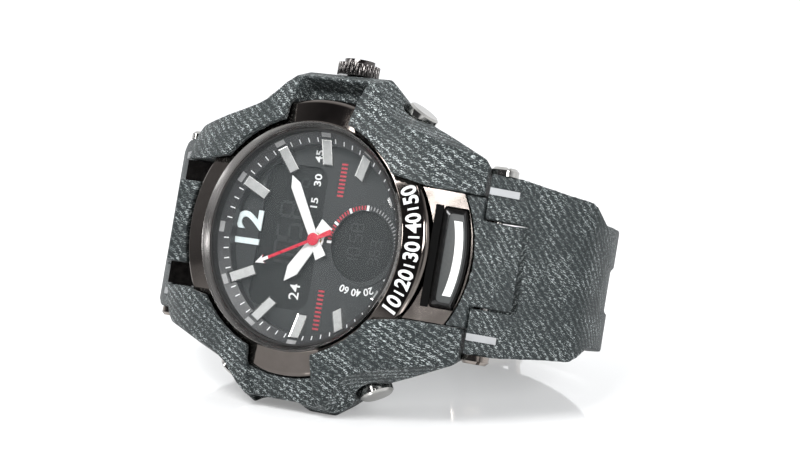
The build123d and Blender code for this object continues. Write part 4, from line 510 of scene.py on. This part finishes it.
def round_tree(name):
    """Geometry nodes that repeat one mark round the dial's axis"""
    tree = bpy.data.node_groups.new(name, "GeometryNodeTree")
    face = tree.interface
    face.new_socket("Geometry", in_out="INPUT", socket_type="NodeSocketGeometry")
    face.new_socket("Mark", in_out="INPUT", socket_type="NodeSocketObject")
    face.new_socket("Count", in_out="INPUT", socket_type="NodeSocketInt")
    face.new_socket("First Angle", in_out="INPUT", socket_type="NodeSocketFloat")
    face.new_socket("Step Angle", in_out="INPUT", socket_type="NodeSocketFloat")
    face.new_socket("Leave Out Every", in_out="INPUT", socket_type="NodeSocketInt")
    face.new_socket("Material", in_out="INPUT", socket_type="NodeSocketMaterial")
    face.new_socket("Geometry", in_out="OUTPUT", socket_type="NodeSocketGeometry")
    given = tree.nodes.new("NodeGroupInput")
    points = tree.nodes.new("GeometryNodePoints")
    index = tree.nodes.new("GeometryNodeInputIndex")
    turn = tree.nodes.new("ShaderNodeMath")
    turn.operation = "MULTIPLY_ADD"
    to_radians = tree.nodes.new("ShaderNodeMath")
    to_radians.operation = "MULTIPLY"
    to_radians.inputs[1].default_value = -math.pi / 180
    rotation = tree.nodes.new("ShaderNodeCombineXYZ")
    remainder = tree.nodes.new("ShaderNodeMath")
    remainder.operation = "MODULO"
    kept = tree.nodes.new("ShaderNodeMath")
    kept.operation = "GREATER_THAN"
    kept.inputs[1].default_value = 0.5
    mark = tree.nodes.new("GeometryNodeObjectInfo")
    copies = tree.nodes.new("GeometryNodeInstanceOnPoints")
    real = tree.nodes.new("GeometryNodeRealizeInstances")
    coat = tree.nodes.new("GeometryNodeSetMaterial")
    made = tree.nodes.new("NodeGroupOutput")
    link = tree.links.new
    link(given.outputs["Count"], points.inputs["Count"])
    link(index.outputs[0], turn.inputs[0])
    link(given.outputs["Step Angle"], turn.inputs[1])
    link(given.outputs["First Angle"], turn.inputs[2])
    link(turn.outputs[0], to_radians.inputs[0])
    link(to_radians.outputs[0], rotation.inputs["Z"])
    link(index.outputs[0], remainder.inputs[0])
    link(given.outputs["Leave Out Every"], remainder.inputs[1])
    link(remainder.outputs[0], kept.inputs[0])
    link(given.outputs["Mark"], mark.inputs["Object"])
    link(points.outputs[0], copies.inputs["Points"])
    link(kept.outputs[0], copies.inputs["Selection"])
    link(mark.outputs["Geometry"], copies.inputs["Instance"])
    link(rotation.outputs[0], copies.inputs["Rotation"])
    link(copies.outputs[0], real.inputs[0])
    link(real.outputs[0], coat.inputs["Geometry"])
    link(given.outputs["Material"], coat.inputs["Material"])
    link(coat.outputs[0], made.inputs[0])
    return tree


marks_round = round_tree("marks_round")


def ring_of(name, mark, count, first, step, leave_out, material):
    """The marks as one plain mesh; mark 0 and every leave_out-th one after it are skipped"""
    holder = bpy.data.objects.new(name, bpy.data.meshes.new(name))
    scene.collection.objects.link(holder)
    maker = holder.modifiers.new("marks", "NODES")
    maker.node_group = marks_round
    values = {"Mark": mark, "Count": count, "First Angle": float(first), "Step Angle": float(step),
              "Leave Out Every": leave_out, "Material": material}
    for item in marks_round.interface.items_tree:
        if item.in_out == "INPUT" and item.name in values:
            maker[item.identifier] = values[item.name]
    bpy.context.view_layer.update()
    mesh = bpy.data.meshes.new_from_object(holder.evaluated_get(bpy.context.evaluated_depsgraph_get()))
    bpy.data.objects.remove(holder)
    bpy.data.objects.remove(mark)
    mesh.name = name
    piece = bpy.data.objects.new(name, mesh)
    scene.collection.objects.link(piece)
    in_watch(piece)
    if not piece.data.materials:
        piece.data.materials.append(material)
    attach(piece, "watch")
    return piece


NO_GAP = 1000
tick = mark_on_slope("minute_tick", start=15.42, end=16.1, width=0.17, lift=0.03)
ring_of("minute_ticks", tick, count=60, first=0, step=6, leave_out=5, material=print_white)
square = mark_on_slope("hour_square", start=16.2, end=16.85, width=1.7, lift=0.05)
ring_of("hour_squares", square, count=13, first=-30, step=30, leave_out=NO_GAP, material=print_grey)


# The hour markers are applied silver bars with sloping tops, filled with pale grey lacquer, and
# held by pins in the dial. Only a narrow polished frame shows round each fill.
WELD_DISTANCE = 0.00002
FLAT_ANGLE = math.radians(1)


def merged_copy(node, name):
    """A copy of a node's mesh with its loose triangles joined, ready to be reshaped"""
    mesh = nodes[node].data.copy()
    mesh.name = name
    mesh.materials.clear()
    edit = bmesh.new()
    edit.from_mesh(mesh)
    bmesh.ops.remove_doubles(edit, verts=edit.verts, dist=WELD_DISTANCE)
    bmesh.ops.dissolve_limit(edit, angle_limit=FLAT_ANGLE, verts=edit.verts, edges=edit.edges)
    edit.to_mesh(mesh)
    edit.free()
    piece = bpy.data.objects.new(name, mesh)
    scene.collection.objects.link(piece)
    return piece


def softened(piece, width, segments=2, angle=28):
    """Small rounded edges, with shading that stays flat on flat faces"""
    bevel = piece.modifiers.new("edges", "BEVEL")
    bevel.width = width * MM
    bevel.segments = segments
    bevel.limit_method = "ANGLE"
    bevel.angle_limit = math.radians(angle)
    bevel.harden_normals = True
    piece.data.shade_smooth()
    return piece


marker_fill = plastic("marker_fill", (0.38, 0.385, 0.38), (0.46, 0.465, 0.46), 0.5)
SLOPING_TOP, LEVEL_TOP = 0.75, 0.99
LARGE_TOP = 3e-6
FILL_MARGIN = 0.22
FILL_DEPTH = 0.05
markers = merged_copy("hour_markers", "hour_bars")
edit = bmesh.new()
edit.from_mesh(markers.data)
tops = [face for face in edit.faces if face.normal.dot(WATCH_Z) > SLOPING_TOP
        and (face.calc_area() > LARGE_TOP or face.normal.dot(WATCH_Z) > LEVEL_TOP)]
bmesh.ops.inset_individual(edit, faces=tops, thickness=FILL_MARGIN * MM, depth=-FILL_DEPTH * MM)
for face in tops:
    face.material_index = 1
edit.to_mesh(markers.data)
edit.free()
markers.data.materials.append(bright_silver)
markers.data.materials.append(marker_fill)
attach(markers, "watch")
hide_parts("hour_markers")


# The hands are stamped brass with white lacquer, the seconds hand red with a white tip, each
# pressed on its pipe. Their edges are rolled over a little.
enamel_white = plastic("enamel_white", (0.82, 0.82, 0.81), (0.88, 0.88, 0.87), 0.3)
enamel_red = plastic("enamel_red", (0.55, 0.015, 0.04), (0.64, 0.03, 0.06), 0.3)
HANDS = {"hour_hand": ("hour", enamel_white, "white_enamel"),
         "minute_hand": ("minute", enamel_white, "white_enamel"),
         "seconds_hand": ("seconds", enamel_red, "red_enamel")}
for node, (body, coat, slot) in HANDS.items():
    hand = merged_copy(node, node + "_blade")
    softened(hand, 0.06)
    hand.data.materials.append(coat)
    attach(hand, body)
    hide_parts(node)

SECONDS_ANGLE = 333.7
SECONDS_TOP = -1.14


def along_seconds(x, y, z):
    """Points drawn at 12 o'clock, turned to where the seconds hand points"""
    turn = math.radians(-SECONDS_ANGLE)
    return (x * math.cos(turn) - y * math.sin(turn), x * math.sin(turn) + y * math.cos(turn), z)


arrow = [(0, 11.1), (0.72, 9.45), (0.26, 9.75), (0.26, 8.6), (-0.26, 8.6), (-0.26, 9.75), (-0.72, 9.45)]
plates("seconds_tip", [arrow], SECONDS_TOP, SECONDS_TOP + PRINT_HEIGHT, enamel_white, "seconds",
       along_seconds)


# The crystal is a flat mineral glass with a bevelled edge, coated on the inside, and sealed in
# the bezel by a gasket.
clear_glass, tree, shader = new_material("clear_glass")
shader.inputs["Base Color"].default_value = (0.3, 0.33, 0.34, 1)
shader.inputs["Roughness"].default_value = 0.03
shader.inputs["Alpha"].default_value = 0.05
finish("crystal", clear_glass)


# The bezel ring is turned steel with a dark plating: a brushed grey lip round the crystal and a
# polished cone outside it, with a printed scale at 6 o'clock.
BEZEL_SEGMENTS = 256


def turned_piece(name, profile):
    """A closed ring turned about the dial's axis from (radius, height) points"""
    points, faces = [], []
    count = len(profile)
    for step in range(BEZEL_SEGMENTS):
        turn = 2 * math.pi * step / BEZEL_SEGMENTS
        points += [(radius * math.cos(turn), radius * math.sin(turn), height) for radius, height in profile]
    for step in range(BEZEL_SEGMENTS):
        following = (step + 1) % BEZEL_SEGMENTS
        for index in range(count):
            after = (index + 1) % count
            faces.append((step * count + index, following * count + index, following * count + after,
                          step * count + after))
    piece = flat_mesh(name, points, faces)
    edit = bmesh.new()
    edit.from_mesh(piece.data)
    bmesh.ops.recalc_face_normals(edit, faces=edit.faces)
    edit.to_mesh(piece.data)
    edit.free()
    return piece


def watch_polar(tree):
    """The radius and the turn about the dial's axis of a point, from Object coordinates"""
    where = tree.nodes.new("ShaderNodeTexCoord")
    centred = tree.nodes.new("ShaderNodeMapping")
    centred.vector_type = "POINT"
    place = Matrix.Rotation(-(math.pi / 2 - LEAN), 4, "X")
    centred.inputs["Rotation"].default_value = place.to_euler()
    centred.inputs["Location"].default_value = -(place @ DIAL_CENTRE)
    tree.links.new(where.outputs["Object"], centred.inputs["Vector"])
    split = tree.nodes.new("ShaderNodeSeparateXYZ")
    tree.links.new(centred.outputs["Vector"], split.inputs[0])
    angle = tree.nodes.new("ShaderNodeMath")
    angle.operation = "ARCTAN2"
    tree.links.new(split.outputs["Y"], angle.inputs[0])
    tree.links.new(split.outputs["X"], angle.inputs[1])
    radius = tree.nodes.new("ShaderNodeVectorMath")
    radius.operation = "LENGTH"
    flat = tree.nodes.new("ShaderNodeCombineXYZ")
    tree.links.new(split.outputs["X"], flat.inputs["X"])
    tree.links.new(split.outputs["Y"], flat.inputs["Y"])
    tree.links.new(flat.outputs[0], radius.inputs[0])
    return radius.outputs["Value"], angle.outputs[0]


TURNING_STRETCH = 0.0003
TURNING_GRAIN = 9000
TURNING_RELIEF = 0.000002
lip_steel, tree, shader = new_material("lip_steel")
shader.inputs["Metallic"].default_value = 1
radius, angle = watch_polar(tree)
grain_place = tree.nodes.new("ShaderNodeCombineXYZ")
stretch = tree.nodes.new("ShaderNodeMath")
stretch.operation = "MULTIPLY"
stretch.inputs[1].default_value = TURNING_STRETCH
tree.links.new(angle, stretch.inputs[0])
tree.links.new(radius, grain_place.inputs["X"])
tree.links.new(stretch.outputs[0], grain_place.inputs["Y"])
grain = tree.nodes.new("ShaderNodeTexNoise")
grain.inputs["Scale"].default_value = TURNING_GRAIN
grain.inputs["Detail"].default_value = 3
tree.links.new(grain_place.outputs[0], grain.inputs["Vector"])
tinted(tree, shader, grain, (0.2, 0.192, 0.186), (0.24, 0.23, 0.225))
tree.links.new(between(tree, grain, 0.22, 0.28), shader.inputs["Roughness"])
relief = tree.nodes.new("ShaderNodeBump")
relief.inputs["Distance"].default_value = TURNING_RELIEF
relief.inputs["Strength"].default_value = 0.4
tree.links.new(grain.outputs["Fac"], relief.inputs["Height"])
tree.links.new(relief.outputs["Normal"], shader.inputs["Normal"])

LIP_TOP = [(17.2, 2.06), (17.23, 2.13), (17.98, 3.2), (18.03, 3.25), (18.08, 3.18)]
CONE_TOP, CONE_FOOT = (18.34, 2.46), (21.3, 1.78)
FLANGE = [(18.17, 2.62), (18.22, 2.52), CONE_TOP, CONE_FOOT, (21.5, 1.68), (21.82, 1.34), (21.9, 1.2)]
BEZEL_BOTTOM = -0.6
LIP_OUTER = 18.15
LIP_FOOT = 2
BORE, RIM = LIP_TOP[0][0], FLANGE[-1][0]
bezel = turned_piece("bezel", [(BORE, BEZEL_BOTTOM)] + LIP_TOP + FLANGE + [(RIM, BEZEL_BOTTOM)])
flange_metal = metal("flange_metal", (0.15, 0.132, 0.12), (0.17, 0.15, 0.138), 0.07, grain=500,
                     relief=0.0000005)
bezel.data.materials.append(flange_metal)
bezel.data.materials.append(lip_steel)
for face in bezel.data.polygons:
    centre = face.center
    if math.hypot(centre.x, centre.y) < LIP_OUTER and centre.z > LIP_FOOT:
        face.material_index = 1
in_watch(bezel)
softened(bezel, 0.03, segments=1, angle=40)
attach(bezel, "watch")
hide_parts("bezel_ring")

SCALE_RADIUS = 20.05
CONE_FALL = (CONE_FOOT[1] - CONE_TOP[1]) / (CONE_FOOT[0] - CONE_TOP[0])
FLANGE_NUMBER_HEIGHT = 2.35
FLANGE_NUMBER_PITCH = 4.45
DIVIDER_PLACES = (-6.68, -2.23, 2.23, 6.68)
PRINT_SINK = 0.02


def on_flange(x, y, z):
    """Wraps lettering round the flange at 6 o'clock, its tops towards the dial"""
    radius = SCALE_RADIUS - y
    turn = x / SCALE_RADIUS
    height = CONE_TOP[1] + (radius - CONE_TOP[0]) * CONE_FALL
    return (radius * math.sin(turn), -radius * math.cos(turn), height + z)


def along_flange(shift):
    """A place for lettering on the flange, moved along it"""
    return lambda x, y, z: on_flange(x + shift, y, z - PRINT_SINK)


for index, words in enumerate(("10", "20", "30", "40", "50")):
    numerals("flange_number_" + words, words, height=FLANGE_NUMBER_HEIGHT, width_share=0.95,
             place=along_flange((index - 2) * FLANGE_NUMBER_PITCH), material=print_white,
             thick=0.07, bold=0.08)
dividers = [bar(x, 0, 0.3, 1.7, 0) for x in DIVIDER_PLACES]
plates("flange_dividers", dividers, -PRINT_SINK, 0.05, print_white, place=on_flange)


# The two guard halves, the end links, the strap and the keeper are moulded resin with a twill
# pattern printed over every face by water transfer: pale flecks in slanting rows on charcoal.
# Each skin's print coordinates are in mm, flat on a guard and wound round the loop on the strap.
to_watch = np.array(WATCH.inverted())
LOOP_MIDDLE = -21.5
LOOP_RADIUS = 36.0
SIDE_SHARE = 0.7
TOP_SHARE = 0.45


def print_place(points, normals, kind):
    """Where the print lies on a face, in mm along two directions of its surface"""
    x, y, z = points.T
    if kind == "loop":
        along = LOOP_RADIUS * np.arctan2(y, LOOP_MIDDLE - z)
        side = np.abs(normals[:, 0]) > SIDE_SHARE
        out = np.hypot(y, z - LOOP_MIDDLE)
        return np.where(side, out, x), along
    top = np.abs(normals[:, 2]) > TOP_SHARE
    flank = ~top & (np.abs(normals[:, 0]) >= np.abs(normals[:, 1]))
    first = np.where(top, x, np.where(flank, z, x))
    second = np.where(top, y, np.where(flank, y, z))
    return first, second


SMOOTH_ROUNDS = 2


def resin_piece(name, node, body, voxel, kind, material):
    """A moulded copy of a node with soft edges and its own print coordinates"""
    draft = merged_copy(node, name)
    remesh = draft.modifiers.new("skin", "REMESH")
    remesh.mode = "VOXEL"
    remesh.voxel_size = voxel * MM
    smooth = draft.modifiers.new("soft", "SMOOTH")
    smooth.factor = 0.5
    smooth.iterations = SMOOTH_ROUNDS
    bpy.context.view_layer.update()
    mesh = bpy.data.meshes.new_from_object(draft.evaluated_get(bpy.context.evaluated_depsgraph_get()))
    bpy.data.objects.remove(draft)
    mesh.name = name
    mesh.shade_smooth()
    count = len(mesh.vertices)
    spots = np.zeros(count * 3)
    mesh.vertices.foreach_get("co", spots)
    spots = spots.reshape(-1, 3) @ to_watch[:3, :3].T + to_watch[:3, 3]
    corner_vertex = np.zeros(len(mesh.loops), int)
    mesh.loops.foreach_get("vertex_index", corner_vertex)
    face_normal = np.zeros(len(mesh.polygons) * 3)
    mesh.polygons.foreach_get("normal", face_normal)
    face_normal = face_normal.reshape(-1, 3) @ to_watch[:3, :3].T * MM
    sizes = np.zeros(len(mesh.polygons), int)
    mesh.polygons.foreach_get("loop_total", sizes)
    corner_normal = np.repeat(face_normal, sizes, axis=0)
    first, second = print_place(spots[corner_vertex], corner_normal, kind)
    layer = mesh.uv_layers.new(name="print")
    layer.data.foreach_set("uv", np.stack([first, second], 1).ravel())
    mesh.materials.clear()
    mesh.materials.append(material)
    piece = bpy.data.objects.new(name, mesh)
    scene.collection.objects.link(piece)
    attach(piece, body)
    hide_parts(node)
    return piece


RESIN_DARK = (0.006, 0.009, 0.0095, 1)
RESIN_LIGHT = (0.04, 0.048, 0.05, 1)
FLECK_COLOUR = (0.62, 0.68, 0.68, 1)
FLECK_SIZE = (0.6, 0.13)
THREAD_SIZE = (0.5, 0.15)
GRAIN_SIZE = (0.3, 0.1)
GRAIN_TURN = 12
ROW_WANDER = 0.9
ROW_SHARE = 0.11
GRAIN_SHARE = 0.42
FLECK_STEP = (0.84, 0.96)
ROW_STEP = (0.25, 0.85)
PATCH_STEP = (0.38, 0.62)
THREAD_SHARE = 0.85
ROW_SHADE = 0.22
TWILL_RELIEF = 0.00004


def twill(name, row_angle, fleck_angle, pitch, bright):
    """Charcoal resin with pale flecks in slanting rows; bright is how pale the flecks are"""
    material, tree, shader = new_material(name)
    link = tree.links.new
    printed = tree.nodes.new("ShaderNodeUVMap")
    printed.uv_map = "print"

    def turned_uv(angle, scale):
        """The print's coordinates, turned in degrees and divided by a size in mm"""
        place = tree.nodes.new("ShaderNodeMapping")
        place.vector_type = "TEXTURE"
        place.inputs["Rotation"].default_value = (0, 0, math.radians(angle))
        place.inputs["Scale"].default_value = (scale[0], scale[1], 1)
        link(printed.outputs["UV"], place.inputs["Vector"])
        return place.outputs["Vector"]

    def noise(vector, scale, detail, rough=0.5):
        """A flat noise"""
        node = tree.nodes.new("ShaderNodeTexNoise")
        node.noise_dimensions = "2D"
        node.inputs["Scale"].default_value = scale
        node.inputs["Detail"].default_value = detail
        node.inputs["Roughness"].default_value = rough
        link(vector, node.inputs["Vector"])
        return node.outputs["Fac"]

    def sum_of(kind, a, b, c=None):
        """One step of arithmetic on numbers and sockets"""
        node = tree.nodes.new("ShaderNodeMath")
        node.operation = kind
        for index, value in enumerate((a, b, c)):
            if value is None:
                continue
            if isinstance(value, (int, float)):
                node.inputs[index].default_value = value
            else:
                link(value, node.inputs[index])
        return node.outputs[0]

    def stepped(value, low, high, least=0.0):
        """A soft step between two values"""
        node = tree.nodes.new("ShaderNodeMapRange")
        node.interpolation_type = "SMOOTHSTEP"
        node.inputs["From Min"].default_value = low
        node.inputs["From Max"].default_value = high
        node.inputs["To Min"].default_value = least
        link(value, node.inputs["Value"])
        return node.outputs["Result"]

    rows = turned_uv(row_angle, (1, 1))
    split = tree.nodes.new("ShaderNodeSeparateXYZ")
    link(rows, split.inputs[0])
    across = sum_of("MULTIPLY_ADD", noise(rows, scale=0.35, detail=2), ROW_WANDER, split.outputs["Y"])
    wave = sum_of("DIVIDE", sum_of("PINGPONG", across, pitch / 2), pitch / 2)
    row = stepped(wave, *ROW_STEP)
    patch = stepped(noise(rows, scale=0.22, detail=2), *PATCH_STEP, least=0.35)
    flecks = noise(turned_uv(fleck_angle, FLECK_SIZE), scale=1.0, detail=2, rough=0.65)
    grains = noise(turned_uv(fleck_angle - GRAIN_TURN, GRAIN_SIZE), scale=1.0, detail=1)
    in_rows = sum_of("MULTIPLY_ADD", row, ROW_SHARE, flecks)
    amount = sum_of("MULTIPLY_ADD", grains, GRAIN_SHARE, in_rows)
    fleck = sum_of("MULTIPLY", stepped(amount, *FLECK_STEP), patch)
    shown = sum_of("MULTIPLY", fleck, bright)
    ground = tree.nodes.new("ShaderNodeMix")
    ground.data_type = "RGBA"
    ground.inputs["A"].default_value = RESIN_DARK
    ground.inputs["B"].default_value = RESIN_LIGHT
    threads = noise(turned_uv(fleck_angle, THREAD_SIZE), scale=1.0, detail=3)
    threads = sum_of("MULTIPLY", threads, THREAD_SHARE)
    link(sum_of("MULTIPLY_ADD", row, ROW_SHADE, threads), ground.inputs["Factor"])
    colour = tree.nodes.new("ShaderNodeMix")
    colour.data_type = "RGBA"
    link(ground.outputs["Result"], colour.inputs["A"])
    colour.inputs["B"].default_value = FLECK_COLOUR
    link(shown, colour.inputs["Factor"])
    link(colour.outputs["Result"], shader.inputs["Base Color"])
    shader.inputs["Roughness"].default_value = 0.5
    shader.inputs["Specular IOR Level"].default_value = 0.22
    relief = tree.nodes.new("ShaderNodeBump")
    relief.inputs["Distance"].default_value = TWILL_RELIEF
    relief.inputs["Strength"].default_value = 0.5
    link(amount, relief.inputs["Height"])
    link(relief.outputs["Normal"], shader.inputs["Normal"])
    return material


GUARD_VOXEL, LINK_VOXEL, STRAP_VOXEL, KEEPER_VOXEL = 0.26, 0.16, 0.3, 0.2
guard_print = twill("guard_print", row_angle=60, fleck_angle=77, pitch=1.1, bright=0.95)
strap_print = twill("strap_print", row_angle=-40, fleck_angle=-66, pitch=1.0, bright=0.6)
resin_piece("guard_half_3", "guard_3", "watch", GUARD_VOXEL, "block", guard_print)
resin_piece("guard_half_9", "guard_9", "watch", GUARD_VOXEL, "block", guard_print)
resin_piece("link_12", "end_link_12", "watch", LINK_VOXEL, "loop", strap_print)
resin_piece("link_6", "end_link_6", "watch", LINK_VOXEL, "loop", strap_print)
resin_piece("strap_half_12", "strap_12", "watch", STRAP_VOXEL, "loop", strap_print)
resin_piece("strap_half_6", "strap_6", "watch", STRAP_VOXEL, "loop", strap_print)
resin_piece("strap_keeper", "keeper", "loop_keeper", KEEPER_VOXEL, "loop", strap_print)


# The light button is a dark grey key with black edges in a black surround, and a pale bar lies on
# its face. The surround's near-black coat, with almost no reflection, is also painted shade of the gap
# round the key. The panel round it, the crown, the pushers, the lug pins and the inserts are plated steel.
button_metal = plastic("button_metal", (0.022, 0.025, 0.025), (0.034, 0.038, 0.038), 0.42, grain=2500)
panel_metal = metal("panel_metal", (0.27, 0.24, 0.22), (0.29, 0.26, 0.238), 0.1, grain=300,
                    relief=0.0000002)
finish("front_panel", panel_metal)
button_edge = plastic("button_edge", (0.006, 0.006, 0.006), (0.01, 0.01, 0.01), 0.18)
PANEL_SLOPE = 0.677128
SAME_FACE = 0.995
panel_face = WATCH_TURN @ Vector((0, -math.sin(PANEL_SLOPE), math.cos(PANEL_SLOPE)))
key = merged_copy("light_button", "light_key_top")
key.data.materials.append(button_edge)
key.data.materials.append(button_metal)
for face in key.data.polygons:
    if face.normal.dot(panel_face) > SAME_FACE:
        face.material_index = 1
softened(key, 0.12)
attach(key, "light_key")
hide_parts("light_button")
finish("light_bar", enamel_white)

PANEL_MIDDLE = (-24.55, -2.0)
PANEL_TOP_RADIUS = 21.9
SURROUND_HALF_WIDTH = 7.9
SURROUND_FOOT = 2.3
SURROUND_HEAD = 3.5
SURROUND_STEPS = 12
SURROUND_PROUD = 0.14


def on_panel(x, rise, lift):
    """Points drawn on the front panel's face, rise up its slope and lift off it, in the watch's axes"""
    slope_y, slope_z = math.cos(PANEL_SLOPE), math.sin(PANEL_SLOPE)
    middle_y, middle_z = PANEL_MIDDLE
    return (x, middle_y + rise * slope_y - lift * slope_z, middle_z + rise * slope_z + lift * slope_y)


surround = [(SURROUND_HALF_WIDTH, SURROUND_FOOT), (-SURROUND_HALF_WIDTH, SURROUND_FOOT)]
for step in range(2 * SURROUND_STEPS + 1):
    x = SURROUND_HALF_WIDTH * (step / SURROUND_STEPS - 1)
    head = (-math.sqrt(PANEL_TOP_RADIUS ** 2 - x ** 2) - PANEL_MIDDLE[0]) / math.cos(PANEL_SLOPE)
    surround.append((x, min(SURROUND_HEAD, head)))
# The surround is a black plate, coated near-black and almost unreflecting as painted shade of the gap round
# the key.
surround_with_painted_shade = plastic("surround_with_painted_shade", (0.003, 0.003, 0.003), (0.005, 0.005, 0.005), 0.7)
surround_with_painted_shade.node_tree.nodes["Principled BSDF"].inputs["Specular IOR Level"].default_value = 0.04
plates("button_surround", [surround], -PRINT_SINK, SURROUND_PROUD, surround_with_painted_shade,
       place=on_panel)
polished_nickel = metal("polished_nickel", (0.5, 0.49, 0.47), (0.58, 0.57, 0.55), 0.1, grain=500,
                        relief=0.000001)
insert_silver = metal("insert_silver", (0.36, 0.37, 0.38), (0.39, 0.4, 0.41), 0.42, relief=0.0000003)
crown_metal = metal("crown_metal", (0.09, 0.085, 0.082), (0.12, 0.113, 0.11), 0.16, grain=500,
                    relief=0.000001)
CROWN_END = 0.5
crown = merged_copy("crown", "crown_head")
crown.data.materials.append(crown_metal)
crown.data.materials.append(polished_nickel)
for face in crown.data.polygons:
    if face.normal.dot(WATCH_X) > CROWN_END:
        face.material_index = 1
softened(crown, 0.05)
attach(crown, "crown_knob")
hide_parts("crown")
finish("lug_pins", polished_nickel)
finish("strap_inserts", insert_silver)
for hour in ("2", "4", "8", "10"):
    finish("pusher_" + hour, polished_nickel)
